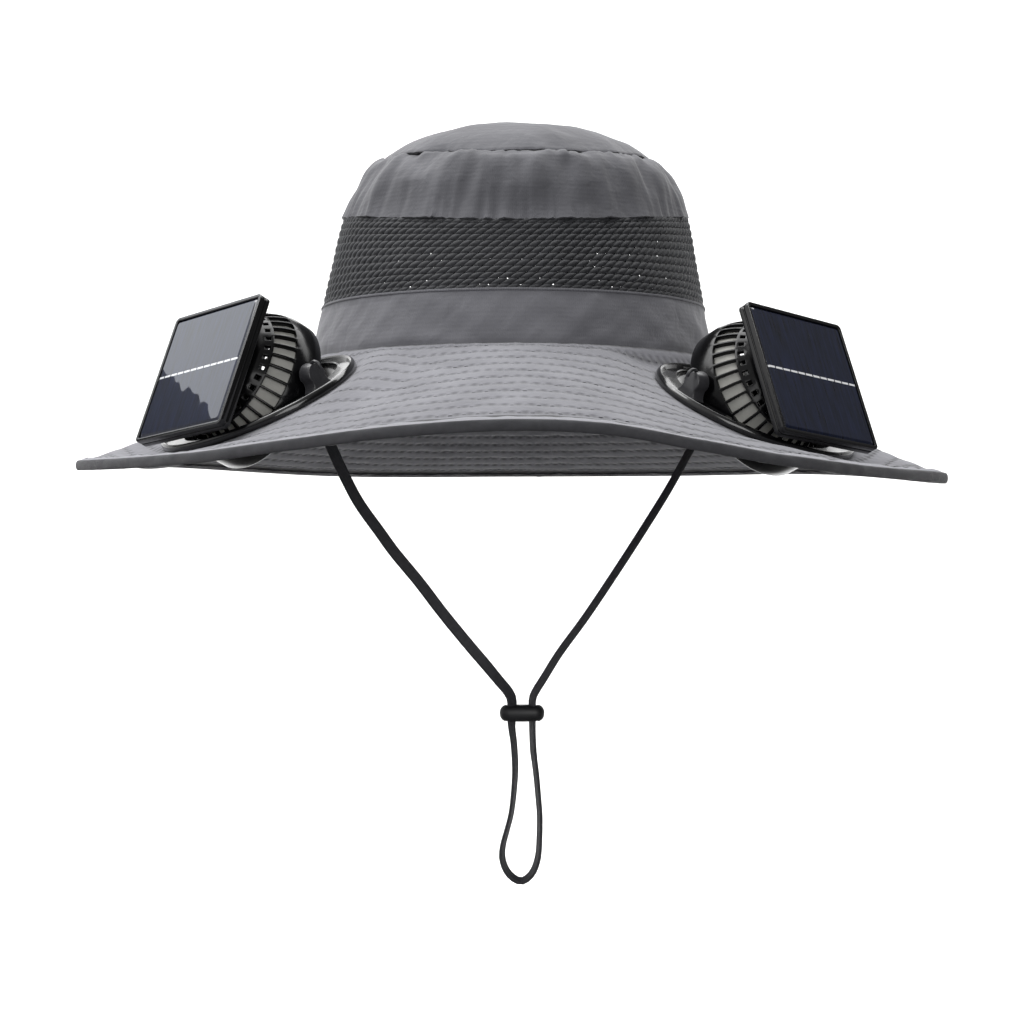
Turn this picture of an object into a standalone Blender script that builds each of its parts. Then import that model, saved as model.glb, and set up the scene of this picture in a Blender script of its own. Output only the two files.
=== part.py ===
import math
from collections import namedtuple

import bmesh
import bpy
from mathutils import Matrix, Vector

# The hat is in metres with +Z up. Its origin is the middle of the head opening, where the
# crown meets the brim. The front is -Y, and an azimuth is counted from the front towards +X.

# Clearances
GAP = 0.0003            # between two pieces that touch
RUN_GAP = 0.0005        # between a moving piece and its frame

# Crown
CROWN_HALF_WIDTH = 0.0875
CROWN_HALF_DEPTH = 0.100
CROWN_HEIGHT = 0.0998
CROWN_SHIFT = 0.0026    # of the soft top to the right
CLOTH = 0.0012
FOLD_DEPTH = 0.0036
RISE_TURN = 1.3         # how soon a seam leaves the side's height for the front's
CROWN_FACETS = 48

# Brim
BRIM_HALF_WIDTH = 0.1848
BRIM_HALF_DEPTH = 0.200
BRIM_THICKNESS = 0.0022
BRIM_DROP = 0.052
BRIM_BOW = 1.34         # steepness beside the crown, as a share of the mean slope
BINDING_WIDTH = 0.0048
BINDING_WALL = 0.0007
COARSE_STEP = 12.0      # degrees between brim sections
FINE_STEP = 4.2         # degrees between brim sections beside a fan
FINE_REACH = 25.0       # degrees to each side of a fan's azimuth

# Fan seat, the flat part of the brim that carries a fan
SEAT_LEAN = 29.0        # degrees, from upright outwards
SEAT_BANK = 6.0         # degrees, the seat's rise towards the front
SEAT_MARGIN = 0.007     # flat brim round the bezel
SEAT_FADE = 0.34        # share of the seat over which the brim turns round again
REST_TILT = 36.0        # degrees that the fan leans out from its seat

# Fan housing, measured along its axis from the pivot
RIM_RADIUS = 0.0315
RIM_FRONT = 0.006       # from the pivot to the blowing side
HOUSING_BACK = 0.0205   # from the pivot to the closed back
HOUSING_WALL = 0.002
RIB_COUNT = 18
RIB_WIDTH = 0.0013
PIVOT_HEIGHT = 0.0065   # above the seat
PIN_RADIUS = 0.0022
PIN_LENGTH = 0.0036     # beyond the ear's inner face
PIN_BOSS_RADIUS = 0.003
DOME_TURN = 0.25        # share of the rim's radius over which the wall turns in

# Bezel and clamp ring
BEZEL_HALF_LENGTH = 0.046
BEZEL_HALF_WIDTH = 0.0375
BEZEL_OFFSET = 0.002    # of the oval from the fan's axis, outwards
BEZEL_PLATE = 0.0016
BEAD_HEIGHT = 0.0007
BEAD_WIDTH = 0.002
SKIRT_WALL = 0.0015
SKIRT_DEPTH = 0.0055    # below the seat
EAR_THICKNESS = 0.0055
EAR_RADIUS = 0.0045
EAR_FOOT = 0.007        # half width of the ear's flared foot
EAR_WAIST = 0.7         # share of the pivot's height at which the foot has narrowed
CLAMP_WIDTH = 0.004
CLAMP_THICKNESS = 0.002

# Sides of the round shapes
ROUND_FACETS = 24       # of the hole, the skirt and the clamp ring
PAD_FACETS = 20
HUB_FACETS = 14         # of the hub and the strap's channels
PIN_FACETS = 12         # of the pins, their bores and the motor

# Front grille and impeller
GRILLE_THICKNESS = 0.0015
GRILLE_HUB = 0.008
GRILLE_RING = 0.019
GRILLE_BAND = 0.0016
SPOKE_COUNT = 9
SPOKE_WIDTH = 0.0014
HUB_RADIUS = 0.008
HUB_FRONT = 0.0035
HUB_BACK = 0.0045
HUB_BORE = 0.00135
SHAFT_RADIUS = 0.001
MOTOR_RADIUS = 0.0075
BLADE_COUNT = 7
BLADE_REACH = 0.0255
BLADE_THICKNESS = 0.0012

# Solar panel
PANEL_SIDE = 0.055
PANEL_THICKNESS = 0.0046
PANEL_LIP = 0.0015
PANEL_CORNER = 0.002
PANEL_DROP = 0.005      # of the panel's middle below the fan's axis
PANEL_PAD_RADIUS = 0.014
PANEL_PAD = 0.0022      # stands the panel off the housing
CELL_DEPTH = 0.003
CELL_BEVEL = 0.001

# Chin strap and its toggle
STRAP_WIDTH = 0.005
STRAP_SPACING = 0.0095  # between the points of the finished curve
TOGGLE_LENGTH = 0.0197
TOGGLE_HEIGHT = 0.0074
TOGGLE_DEPTH = 0.009
TOGGLE_ROUND = 0.0022
TOGGLE_CENTRE = (0.0044, 0.0, -0.1538)
CHANNEL_SPACING = 0.009
CHANNEL_CLEARANCE = 0.0005

SEAM_DROP = GAP + CLOTH * 0.35     # the crown's wall leans in, so its inner edge hangs lower
BINDING_REACH = BINDING_WALL + GAP
HOLE_RADIUS = (math.hypot(RIM_RADIUS, RIM_FRONT) + GAP) / math.cos(math.pi / ROUND_FACETS)
SKIRT_RADIUS = HOLE_RADIUS + SKIRT_WALL
BRIM_HOLE = SKIRT_RADIUS + GAP
SEAT_FLOOR = BRIM_THICKNESS * math.cos(math.radians(SEAT_LEAN))

CrownSection = namedtuple(
    "CrownSection", "side_rise front_rise back_rise half_width front_depth back_depth")
BladeStation = namedtuple("BladeStation", "reach chord pitch sweep")
EdgeDrop = namedtuple("EdgeDrop", "azimuth drop")
Fold = namedtuple("Fold", "azimuth half_angle depth low high lean")
HousingRow = namedtuple("HousingRow", "height radius pierced")
Seat = namedtuple("Seat", "name side azimuth share drop facing")

# Rises are shares of the crown's height, widths and depths of its half width and half depth.
CROWN_SECTIONS = (
    CrownSection(0.000, 0.000, 0.000, 1.000, 1.000, 1.000),
    CrownSection(0.214, 0.202, 0.214, 0.944, 0.955, 0.955),
    CrownSection(0.620, 0.500, 0.585, 0.852, 0.812, 0.845),
    CrownSection(0.760, 0.665, 0.730, 0.793, 0.770, 0.788),
    CrownSection(0.828, 0.755, 0.805, 0.735, 0.728, 0.735),
    CrownSection(0.862, 0.800, 0.848, 0.675, 0.672, 0.682),
    CrownSection(0.925, 0.895, 0.915, 0.560, 0.550, 0.555),
    CrownSection(0.986, 0.978, 0.984, 0.330, 0.330, 0.335),
    CrownSection(1.000, 1.000, 1.000, 0.000, 0.000, 0.000),
)
BRIM_SEAM = 0
MESH_FOOT = 1
MESH_TOP = 2
TIP_SEAM = 5
CROWN_TOP = 8

# The sections, whole and part ones, at which each sewn piece has a row of points.
LOWER_ROWS = (BRIM_SEAM, 0.5, MESH_FOOT)
MESH_ROWS = (MESH_FOOT, 1.5, MESH_TOP)
UPPER_ROWS = (MESH_TOP, 2.75, 3.5, 4.25, TIP_SEAM)
TIP_ROWS = (TIP_SEAM, 5.5, 6.2, 7.2)

# Folds of the gathered upper panel: degrees, a share of the fold depth, the sections between
# which the fold runs, and the degrees that it leans on its way up.
FOLDS = (
    Fold(-36, 10, 1.00, 3.0, 5.4, 5),
    Fold(-62, 9, 0.50, 2.2, 5.0, 3),
    Fold(-17, 8, 0.42, 2.1, 4.6, -4),
    Fold(1, 8, 0.34, 2.8, 5.1, 3),
    Fold(17, 8, 0.50, 2.1, 4.8, 5),
    Fold(34, 8, 0.38, 2.6, 5.2, -3),
    Fold(52, 9, 0.60, 2.2, 5.1, 4),
    Fold(76, 10, 0.44, 2.5, 5.2, -4),
    Fold(101, 10, 0.56, 2.2, 5.0, 3),
    Fold(126, 9, 0.42, 2.4, 5.2, -3),
    Fold(150, 10, 0.60, 2.1, 5.0, 4),
    Fold(174, 9, 0.46, 2.5, 5.2, -2),
    Fold(198, 10, 0.58, 2.2, 4.9, 3),
    Fold(222, 9, 0.44, 2.6, 5.2, -4),
    Fold(248, 10, 0.54, 2.2, 5.1, 3),
    Fold(272, 9, 0.50, 2.3, 5.0, -3),
)

# How far the brim's edge hangs below the seam, as a share of the brim's drop.
EDGE_DROPS = (
    EdgeDrop(-152, 0.870),
    EdgeDrop(-116, 0.815),
    EdgeDrop(-90, 0.875),
    EdgeDrop(-57, 0.919),
    EdgeDrop(-38, 0.900),
    EdgeDrop(-24, 0.825),
    EdgeDrop(-12, 0.750),
    EdgeDrop(0, 0.711),
    EdgeDrop(10, 0.735),
    EdgeDrop(19, 0.822),
    EdgeDrop(30, 0.918),
    EdgeDrop(46, 0.988),
    EdgeDrop(66, 1.000),
    EdgeDrop(90, 0.985),
    EdgeDrop(125, 0.870),
    EdgeDrop(152, 0.862),
    EdgeDrop(180, 0.862),
)
BRIM_ROWS = (0.0, 0.035, 0.15, 0.29, 0.43, 0.57, 0.71, 0.83)

# Where each fan's axis meets the top of the brim: its azimuth towards its own side, its share
# of the way from the crown to the edge, its share of the brim's drop, and the azimuth it faces.
SEATS = (
    Seat("left", -1, 50.5, 0.400, 0.465, 45.0),
    Seat("right", 1, 49.6, 0.366, 0.520, 41.0),
)

# The housing from its rim to its back: heights are shares of the back's height, or of the
# front's below the pivot, and radii are shares of the rim's radius.
HOUSING_ROWS = (
    HousingRow(-1.00, 0.985, False),
    HousingRow(0.13, 1.000, True),
    HousingRow(0.64, 0.872, False),
    HousingRow(0.72, 0.838, True),
    HousingRow(0.82, 0.796, False),
    HousingRow(1.00, 0.700, False),
)

# A blade from its root to its tip: shares of the blade's reach, and degrees.
BLADE_STATIONS = (
    BladeStation(0.267, 0.195, 52, 0),
    BladeStation(0.657, 0.420, 40, 7),
    BladeStation(1.000, 0.540, 30, 16),
)

# The strap's route from the left end through the toggle, round the loop and up to the right end.
STRAP_ROUTE = (
    (-0.0895, 0.0, -0.0056), (-0.0882, 0.0, -0.0130), (-0.0846, 0.0, -0.0240),
    (-0.0791, 0.0, -0.0372), (-0.0732, 0.0, -0.0501), (-0.0668, 0.0, -0.0621),
    (-0.0581, 0.0, -0.0743), (-0.0511, 0.0, -0.0839), (-0.0406, 0.0, -0.0966),
    (-0.0306, 0.0, -0.1097), (-0.0201, 0.0, -0.1226), (-0.0114, 0.0, -0.1328),
    (-0.0061, 0.0, -0.1392), (-0.0018, 0.0, -0.1443), (-0.0001, 0.0, -0.1480),
    (-0.0001, 0.0, -0.1538), (-0.0001, 0.0, -0.1600), (0.0008, 0.0, -0.1670),
    (0.0014, 0.0, -0.1774), (0.0009, 0.0, -0.1874), (-0.0003, 0.0, -0.1975),
    (-0.0022, 0.0, -0.2050), (-0.0040, 0.0, -0.2120), (-0.0041, 0.0, -0.2180),
    (-0.0014, 0.0, -0.2240), (0.0038, 0.0, -0.2272), (0.0086, 0.0, -0.2240),
    (0.0113, 0.0, -0.2170), (0.0120, 0.0, -0.2075), (0.0121, 0.0, -0.1988),
    (0.0114, 0.0, -0.1896), (0.0105, 0.0, -0.1800), (0.0093, 0.0, -0.1700),
    (0.0089, 0.0, -0.1600), (0.0089, 0.0, -0.1538), (0.0089, 0.0, -0.1480),
    (0.0103, 0.0, -0.1443), (0.0140, 0.0, -0.1384), (0.0210, 0.0, -0.1272),
    (0.0319, 0.0, -0.1123), (0.0437, 0.0, -0.0948), (0.0559, 0.0, -0.0760),
    (0.0681, 0.0, -0.0564), (0.0778, 0.0, -0.0389), (0.0846, 0.0, -0.0260),
    (0.0890, 0.0, -0.0150), (0.0908, 0.0, -0.0068),
)


def new_material(name, colour, roughness, metallic=0.0):
    material = bpy.data.materials.new(name)
    material.use_nodes = True
    shader = material.node_tree.nodes["Principled BSDF"]
    shader.inputs["Base Color"].default_value = (*colour, 1.0)
    shader.inputs["Roughness"].default_value = roughness
    shader.inputs["Metallic"].default_value = metallic
    return material


def new_object(name, bm, material, place=None):
    bmesh.ops.recalc_face_normals(bm, faces=bm.faces)
    mesh = bpy.data.meshes.new(name)
    bm.to_mesh(mesh)
    bm.free()
    mesh.shade_smooth()
    mesh.set_sharp_from_angle(angle=math.radians(35))
    obj = bpy.data.objects.new(name, mesh)
    bpy.context.collection.objects.link(obj)
    if material:
        mesh.materials.append(material)
    if place:
        obj.matrix_world = place
    return obj


def as_guide(obj):
    obj.hide_render = True
    obj.display_type = "WIRE"
    return obj


def combine(target, guide, operation):
    modifier = target.modifiers.new(guide.name, "BOOLEAN")
    modifier.operation = operation
    modifier.object = as_guide(guide)
    modifier.solver = "EXACT"


def bridge(bm, first, second):
    for i, vertex in enumerate(first):
        j = (i + 1) % len(first)
        bm.faces.new((vertex, first[j], second[j], second[i]))


def ring_solid(rings):
    bm = bmesh.new()
    made = [[bm.verts.new(point) for point in ring] for ring in rings]
    for k, ring in enumerate(made):
        bridge(bm, ring, made[(k + 1) % len(made)])
    return bm


def capped_solid(rings):
    bm = bmesh.new()
    made = [[bm.verts.new(point) for point in ring] for ring in rings]
    for first, second in zip(made, made[1:]):
        bridge(bm, first, second)
    bm.faces.new(reversed(made[0]))
    bm.faces.new(made[-1])
    return bm


def circle(radius, height, facets):
    turn = 2 * math.pi / facets
    return [(radius * math.cos(i * turn), radius * math.sin(i * turn), height)
            for i in range(facets)]


def cylinder(name, radius, low, high, facets, place):
    bm = capped_solid([circle(radius, low, facets), circle(radius, high, facets)])
    return new_object(name, bm, None, place)


def smooth_step(share):
    share = min(1.0, max(0.0, share))
    return share * share * (3 - 2 * share)


def angle_between(first, second):
    return (first - second + 180) % 360 - 180


def catmull(before, start, end, after, share):
    return 0.5 * (
        2 * start + (end - before) * share
        + (2 * before - 5 * start + 4 * end - after) * share ** 2
        + (3 * start - before - 3 * end + after) * share ** 3)


def crown_row(index):
    # Beyond the top the crown comes down on its other side, so that the top is level.
    if index < 0:
        return [2 * a - b for a, b in zip(CROWN_SECTIONS[0], CROWN_SECTIONS[1])]
    if index > CROWN_TOP:
        row = CROWN_SECTIONS[2 * CROWN_TOP - index]
        return [*row[:3], *(-value for value in row[3:])]
    return list(CROWN_SECTIONS[index])


def crown_values(section):
    index = min(int(section), CROWN_TOP - 1)
    rows = [crown_row(index + step) for step in (-1, 0, 1, 2)]
    return CrownSection(*(catmull(*column, section - index) for column in zip(*rows)))


def fold_depth(azimuth, section):
    depth = 0.0
    for fold in FOLDS:
        share = (section - fold.low) / (fold.high - fold.low)
        if 0 < share < 1:
            off = angle_between(azimuth, fold.azimuth + fold.lean * (share - 0.5))
            bell = smooth_step(1 - abs(off) / fold.half_angle)
            depth += FOLD_DEPTH * fold.depth * bell * math.sin(math.pi * share)
    return depth


def crown_surface(azimuth, section):
    values = crown_values(section)
    turn = math.radians(azimuth)
    ahead = math.cos(turn)
    depth, end_rise = (
        (values.front_depth, values.front_rise) if ahead > 0
        else (values.back_depth, values.back_rise))
    rise = values.side_rise + (end_rise - values.side_rise) * abs(ahead) ** RISE_TURN
    inward = fold_depth(azimuth, section)
    return Vector((
        (CROWN_HALF_WIDTH * values.half_width - inward) * math.sin(turn) + CROWN_SHIFT * rise,
        -(CROWN_HALF_DEPTH * depth - inward) * ahead,
        CROWN_HEIGHT * rise))


def crown_point(azimuth, section, slide, inside):
    # slide runs up the cloth, and inside goes through its thickness.
    step = 0.02
    here = crown_surface(azimuth, section)
    up = (crown_surface(azimuth, section + step)
          - crown_surface(azimuth, section - step)).normalized()
    around = crown_surface(azimuth + step, section) - crown_surface(azimuth - step, section)
    outward = around.cross(up).normalized()
    return here + up * slide - outward * inside


def crown_ring(section, slide, inside):
    step = 360 / CROWN_FACETS
    return [crown_point(i * step, section, slide, inside) for i in range(CROWN_FACETS)]


def crown_band(name, sections, material):
    # The first and last rows stop half a gap short of the neighbouring bands.
    slides = [0.0] * len(sections)
    slides[0] = GAP / 2 if sections[0] > BRIM_SEAM else 0.0
    slides[-1] = -GAP / 2
    rows = list(zip(sections, slides))
    inner_rows = [rows[0], *rows[2:-1:2], rows[-1]]
    outer = [crown_ring(section, slide, 0.0) for section, slide in rows]
    inner = [crown_ring(section, slide, CLOTH) for section, slide in reversed(inner_rows)]
    return new_object(name, ring_solid(outer + inner), material)


def crown_tip(name, sections, material):
    outer = [crown_ring(section, GAP / 2 if section == TIP_SEAM else 0.0, 0.0)
             for section in sections]
    inner = [crown_ring(section, GAP / 2 if section == TIP_SEAM else 0.0, CLOTH)
             for section in (sections[0], *sections[2:])]
    return new_object(name, capped_solid(list(reversed(inner)) + outer), material)


def brim_plan(azimuth, share):
    turn = math.radians(azimuth)
    half_width = BRIM_HALF_WIDTH - BINDING_REACH
    half_depth = BRIM_HALF_DEPTH - BINDING_REACH
    return (
        (CROWN_HALF_WIDTH + (half_width - CROWN_HALF_WIDTH) * share) * math.sin(turn),
        -(CROWN_HALF_DEPTH + (half_depth - CROWN_HALF_DEPTH) * share) * math.cos(turn))


def seat_matrix(seat, lean, height):
    # X runs along the pivot, Y up the brim towards the crown, and Z out along the axis.
    facing = math.radians(seat.facing)
    bank = math.radians(SEAT_BANK)
    lean = math.radians(lean)
    outward = Vector((seat.side * math.sin(facing), -math.cos(facing), 0.0))
    forward = Vector((-seat.side * math.cos(facing), -math.sin(facing), 0.0))
    up = Vector((0.0, 0.0, 1.0))
    pivot = forward * math.cos(bank) + up * math.sin(bank)
    level = up * math.cos(bank) - forward * math.sin(bank)
    x_axis = pivot * -seat.side
    seat_lean = math.radians(SEAT_LEAN)
    seat_normal = level * math.cos(seat_lean) + outward * math.sin(seat_lean)
    z_axis = level * math.cos(lean) + outward * math.sin(lean)
    y_axis = z_axis.cross(x_axis)
    place = Matrix((x_axis, y_axis, z_axis)).transposed().to_4x4()
    centre = Vector((*brim_plan(seat.side * seat.azimuth, seat.share), -BRIM_DROP * seat.drop))
    place.translation = centre + seat_normal * height
    return place


def edge_drop(azimuth):
    count = len(EDGE_DROPS)
    for i, row in enumerate(EDGE_DROPS):
        following = EDGE_DROPS[(i + 1) % count]
        span = (following.azimuth - row.azimuth) % 360
        ahead = (azimuth - row.azimuth) % 360
        if ahead < span:
            before = EDGE_DROPS[i - 1].drop
            after = EDGE_DROPS[(i + 2) % count].drop
            return BRIM_DROP * catmull(before, row.drop, following.drop, after, ahead / span)
    return BRIM_DROP


def seat_share(x, y, place):
    # 1 on the flat seat, falling to 0 where the brim has its own shape again.
    normal = place.col[2].to_3d()
    centre = place.translation
    z = centre.z - (normal.x * (x - centre.x) + normal.y * (y - centre.y)) / normal.z
    local = place.inverted() @ Vector((x, y, z))
    reach = math.hypot(
        local.x / (BEZEL_HALF_LENGTH + SEAT_MARGIN),
        (local.y + BEZEL_OFFSET) / (BEZEL_HALF_WIDTH + SEAT_MARGIN))
    return 1 - smooth_step((reach - 1) / SEAT_FADE), z


def brim_point(azimuth, share, below=0.0, beyond=0.0):
    turn = math.radians(azimuth)
    x, y = brim_plan(azimuth, share)
    edge = edge_drop(azimuth) - SEAM_DROP - BINDING_REACH
    z = -SEAM_DROP - edge * (BRIM_BOW * share - (BRIM_BOW - 1) * share ** 2)
    for seat in SEATS:
        flat, seat_z = seat_share(x, y, seat_matrix(seat, SEAT_LEAN, 0.0))
        if share > 0:
            z += (seat_z - z) * flat
    return Vector((
        x + beyond * math.sin(turn), y - beyond * math.cos(turn), z - below))


def brim_azimuths():
    azimuths = []
    azimuth = -180.0
    while azimuth < 180.0 - COARSE_STEP / 2:
        azimuths.append(azimuth)
        near = min(abs(azimuth - seat.side * seat.azimuth) for seat in SEATS)
        azimuth += FINE_STEP if near < FINE_REACH else COARSE_STEP
    return azimuths


def lip_share():
    return 1 - (BINDING_WIDTH - BINDING_REACH) / (BRIM_HALF_WIDTH - CROWN_HALF_WIDTH)


def make_brim(material):
    azimuths = brim_azimuths()
    shares = (*BRIM_ROWS, lip_share(), 1.0)
    top = [[brim_point(a, 0.0, 0.0, -CLOTH) for a in azimuths]]
    top += [[brim_point(a, share) for a in azimuths] for share in shares]
    under = [[brim_point(a, share, BRIM_THICKNESS) for a in azimuths] for share in shares]
    under.insert(0, [brim_point(a, 0.0, BRIM_THICKNESS, -CLOTH) for a in azimuths])
    return new_object("brim", ring_solid(top + under[::-1]), material)


def make_binding(material):
    # A folded tape: over the brim's top, round its edge and back along the underside.
    azimuths = brim_azimuths()
    lip = lip_share()
    over = -GAP
    under = BRIM_THICKNESS + GAP
    sections = (
        (lip, over - BINDING_WALL, 0.0), (1.0, over - BINDING_WALL, GAP),
        (1.0, BRIM_THICKNESS / 2, BINDING_REACH),
        (1.0, under + BINDING_WALL, GAP), (lip, under + BINDING_WALL, 0.0),
        (lip, under, 0.0), (1.0, under, GAP), (1.0, over, GAP), (lip, over, 0.0),
    )
    rings = [[brim_point(a, share, below, beyond) for a in azimuths]
             for share, below, beyond in sections]
    return new_object("brim_binding", ring_solid(rings), material)


def oval(half_length, half_width, offset, height, facets):
    turn = 2 * math.pi / facets
    return [(half_length * math.cos(i * turn), half_width * math.sin(i * turn) - offset, height)
            for i in range(facets)]


def make_ear(name, side, place):
    # A post with a flared foot and a round head about the pivot.
    inner = HOLE_RADIUS + GAP
    foot = GAP + BEZEL_PLATE / 2
    outline = [(-EAR_FOOT, foot), (EAR_FOOT, foot), (EAR_RADIUS, PIVOT_HEIGHT * EAR_WAIST)]
    steps = 6
    for i in range(steps + 1):
        turn = math.pi * i / steps
        outline.append((EAR_RADIUS * math.cos(turn), PIVOT_HEIGHT + EAR_RADIUS * math.sin(turn)))
    outline.append((-EAR_RADIUS, PIVOT_HEIGHT * EAR_WAIST))
    ends = [[(side * x, y, z) for y, z in outline] for x in (inner, inner + EAR_THICKNESS)]
    return new_object(name, capped_solid(ends), None, place)


def make_bezel(seat, material):
    place = seat_matrix(seat, SEAT_LEAN, 0.0)
    facets = ROUND_FACETS
    top = GAP + BEZEL_PLATE
    rings = [
        oval(BEZEL_HALF_LENGTH, BEZEL_HALF_WIDTH, BEZEL_OFFSET, GAP, facets),
        oval(BEZEL_HALF_LENGTH, BEZEL_HALF_WIDTH, BEZEL_OFFSET, top, facets),
        oval(BEZEL_HALF_LENGTH - BEAD_WIDTH / 2, BEZEL_HALF_WIDTH - BEAD_WIDTH / 2,
             BEZEL_OFFSET, top + BEAD_HEIGHT, facets),
        oval(BEZEL_HALF_LENGTH - BEAD_WIDTH, BEZEL_HALF_WIDTH - BEAD_WIDTH,
             BEZEL_OFFSET, top, facets),
        circle(HOLE_RADIUS, top, facets),
        circle(HOLE_RADIUS, -SKIRT_DEPTH, facets),
        circle(SKIRT_RADIUS, -SKIRT_DEPTH, facets),
        circle(SKIRT_RADIUS, GAP, facets),
    ]
    bezel = new_object(f"bezel_{seat.name}", ring_solid(rings), material, place)
    pin_way = place @ Matrix.Translation((0, 0, PIVOT_HEIGHT)) @ Matrix.Rotation(
        math.pi / 2, 4, "Y")
    socket = HOLE_RADIUS + GAP + PIN_LENGTH + GAP
    for end, side in (("front", 1), ("rear", -1)):
        ear = make_ear(f"ear_{end}_{seat.name}", side, place)
        combine(bezel, ear, "UNION")
    way = cylinder(
        f"pin_way_{seat.name}", PIN_RADIUS + GAP, -socket, socket, PIN_FACETS, pin_way)
    combine(bezel, way, "DIFFERENCE")
    return bezel


def make_clamp_ring(seat, material):
    facets = ROUND_FACETS
    high = -SEAT_FLOOR - GAP
    low = high - CLAMP_THICKNESS
    inner = SKIRT_RADIUS + GAP
    rings = [circle(inner, high, facets), circle(inner + CLAMP_WIDTH, high, facets),
             circle(inner + CLAMP_WIDTH, low, facets), circle(inner, low, facets)]
    place = seat_matrix(seat, SEAT_LEAN, 0.0)
    return new_object(f"clamp_ring_{seat.name}", ring_solid(rings), material, place)


def pierced_shell(outer, inner, turns, pierced):
    # outer and inner hold rows of (height, radius), and pierced(row, step) opens a window.
    bm = bmesh.new()

    def make(rows):
        return [[bm.verts.new((radius * math.cos(t), radius * math.sin(t), height))
                 for t in turns] for height, radius in rows]

    outside, inside = make(outer), make(inner)
    count = len(turns)
    for i in range(len(outer) - 1):
        for j in range(count):
            k = (j + 1) % count
            if not pierced(i, j):
                for skin in (outside, inside):
                    bm.faces.new((skin[i][j], skin[i][k], skin[i + 1][k], skin[i + 1][j]))
                continue
            sides = (
                (not pierced(i - 1, j), (i, j), (i, k)),
                (not pierced(i + 1, j), (i + 1, j), (i + 1, k)),
                (not pierced(i, j - 1), (i, j), (i + 1, j)),
                (not pierced(i, k), (i, k), (i + 1, k)),
            )
            for walled, (a, b), (c, d) in sides:
                if walled:
                    bm.faces.new((outside[a][b], outside[c][d], inside[c][d], inside[a][b]))
    bridge(bm, outside[0], inside[0])
    bm.faces.new(outside[-1])
    bm.faces.new(inside[-1])
    return bm


def bar_turns(count, width, radius):
    half = width / radius / 2
    return [2 * math.pi * i / count + side * half for i in range(count) for side in (-1, 1)]


def fan_matrix(seat):
    return seat_matrix(seat, SEAT_LEAN + REST_TILT, PIVOT_HEIGHT)


def make_housing(seat, material):
    place = fan_matrix(seat)
    outer = []
    inner = []
    for row in HOUSING_ROWS:
        height = row.height * (RIM_FRONT if row.height < 0 else HOUSING_BACK)
        radius = row.radius * RIM_RADIUS
        lift = HOUSING_WALL * smooth_step((1 - row.radius) / DOME_TURN) if row.height > 0 else 0.0
        outer.append((height, radius))
        inner.append((height - lift, radius - HOUSING_WALL))
    turns = bar_turns(RIB_COUNT, RIB_WIDTH, RIM_RADIUS)
    shell = pierced_shell(
        outer, inner, turns, lambda i, j: HOUSING_ROWS[i].pierced and j % 2 == 1)
    housing = new_object(f"fan_housing_{seat.name}", shell, material, place)
    across = place @ Matrix.Rotation(math.pi / 2, 4, "Y")
    ear_face = HOLE_RADIUS + GAP
    seated = RIM_RADIUS - HOUSING_WALL / 2
    boss_end = math.sqrt(HOLE_RADIUS ** 2 - PIN_BOSS_RADIUS ** 2) - RUN_GAP / 2
    for end, side in (("front", 1), ("rear", -1)):
        pin = capped_solid([
            circle(PIN_BOSS_RADIUS, side * seated, PIN_FACETS),
            circle(PIN_BOSS_RADIUS, side * boss_end, PIN_FACETS),
            circle(PIN_RADIUS, side * boss_end, PIN_FACETS),
            circle(PIN_RADIUS, side * (ear_face + PIN_LENGTH), PIN_FACETS)])
        combine(housing, new_object(f"pin_{end}_{seat.name}", pin, None, across), "UNION")
    motor_front = HUB_BACK + RUN_GAP
    motor = capped_solid([
        circle(MOTOR_RADIUS, HOUSING_BACK - HOUSING_WALL / 2, PIN_FACETS),
        circle(MOTOR_RADIUS, motor_front, PIN_FACETS),
        circle(SHAFT_RADIUS, motor_front, PIN_FACETS),
        circle(SHAFT_RADIUS, -HUB_FRONT, PIN_FACETS)])
    combine(housing, new_object(f"motor_{seat.name}", motor, None, place), "UNION")
    return housing


def make_grille(seat, material):
    front = -RIM_FRONT + GAP
    back = front + GRILLE_THICKNESS
    bore = RIM_RADIUS * HOUSING_ROWS[0].radius - HOUSING_WALL
    edge = bore * math.cos(math.pi / RIB_COUNT) - GAP
    radii = (edge, edge - GRILLE_BAND, GRILLE_RING, GRILLE_RING - GRILLE_BAND, GRILLE_HUB)
    turns = bar_turns(SPOKE_COUNT, SPOKE_WIDTH, GRILLE_HUB)
    shell = pierced_shell(
        [(back, radius) for radius in radii], [(front, radius) for radius in radii],
        turns, lambda i, j: i in (1, 3) and j % 2 == 1)
    return new_object(f"front_grille_{seat.name}", shell, material, fan_matrix(seat))


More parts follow.
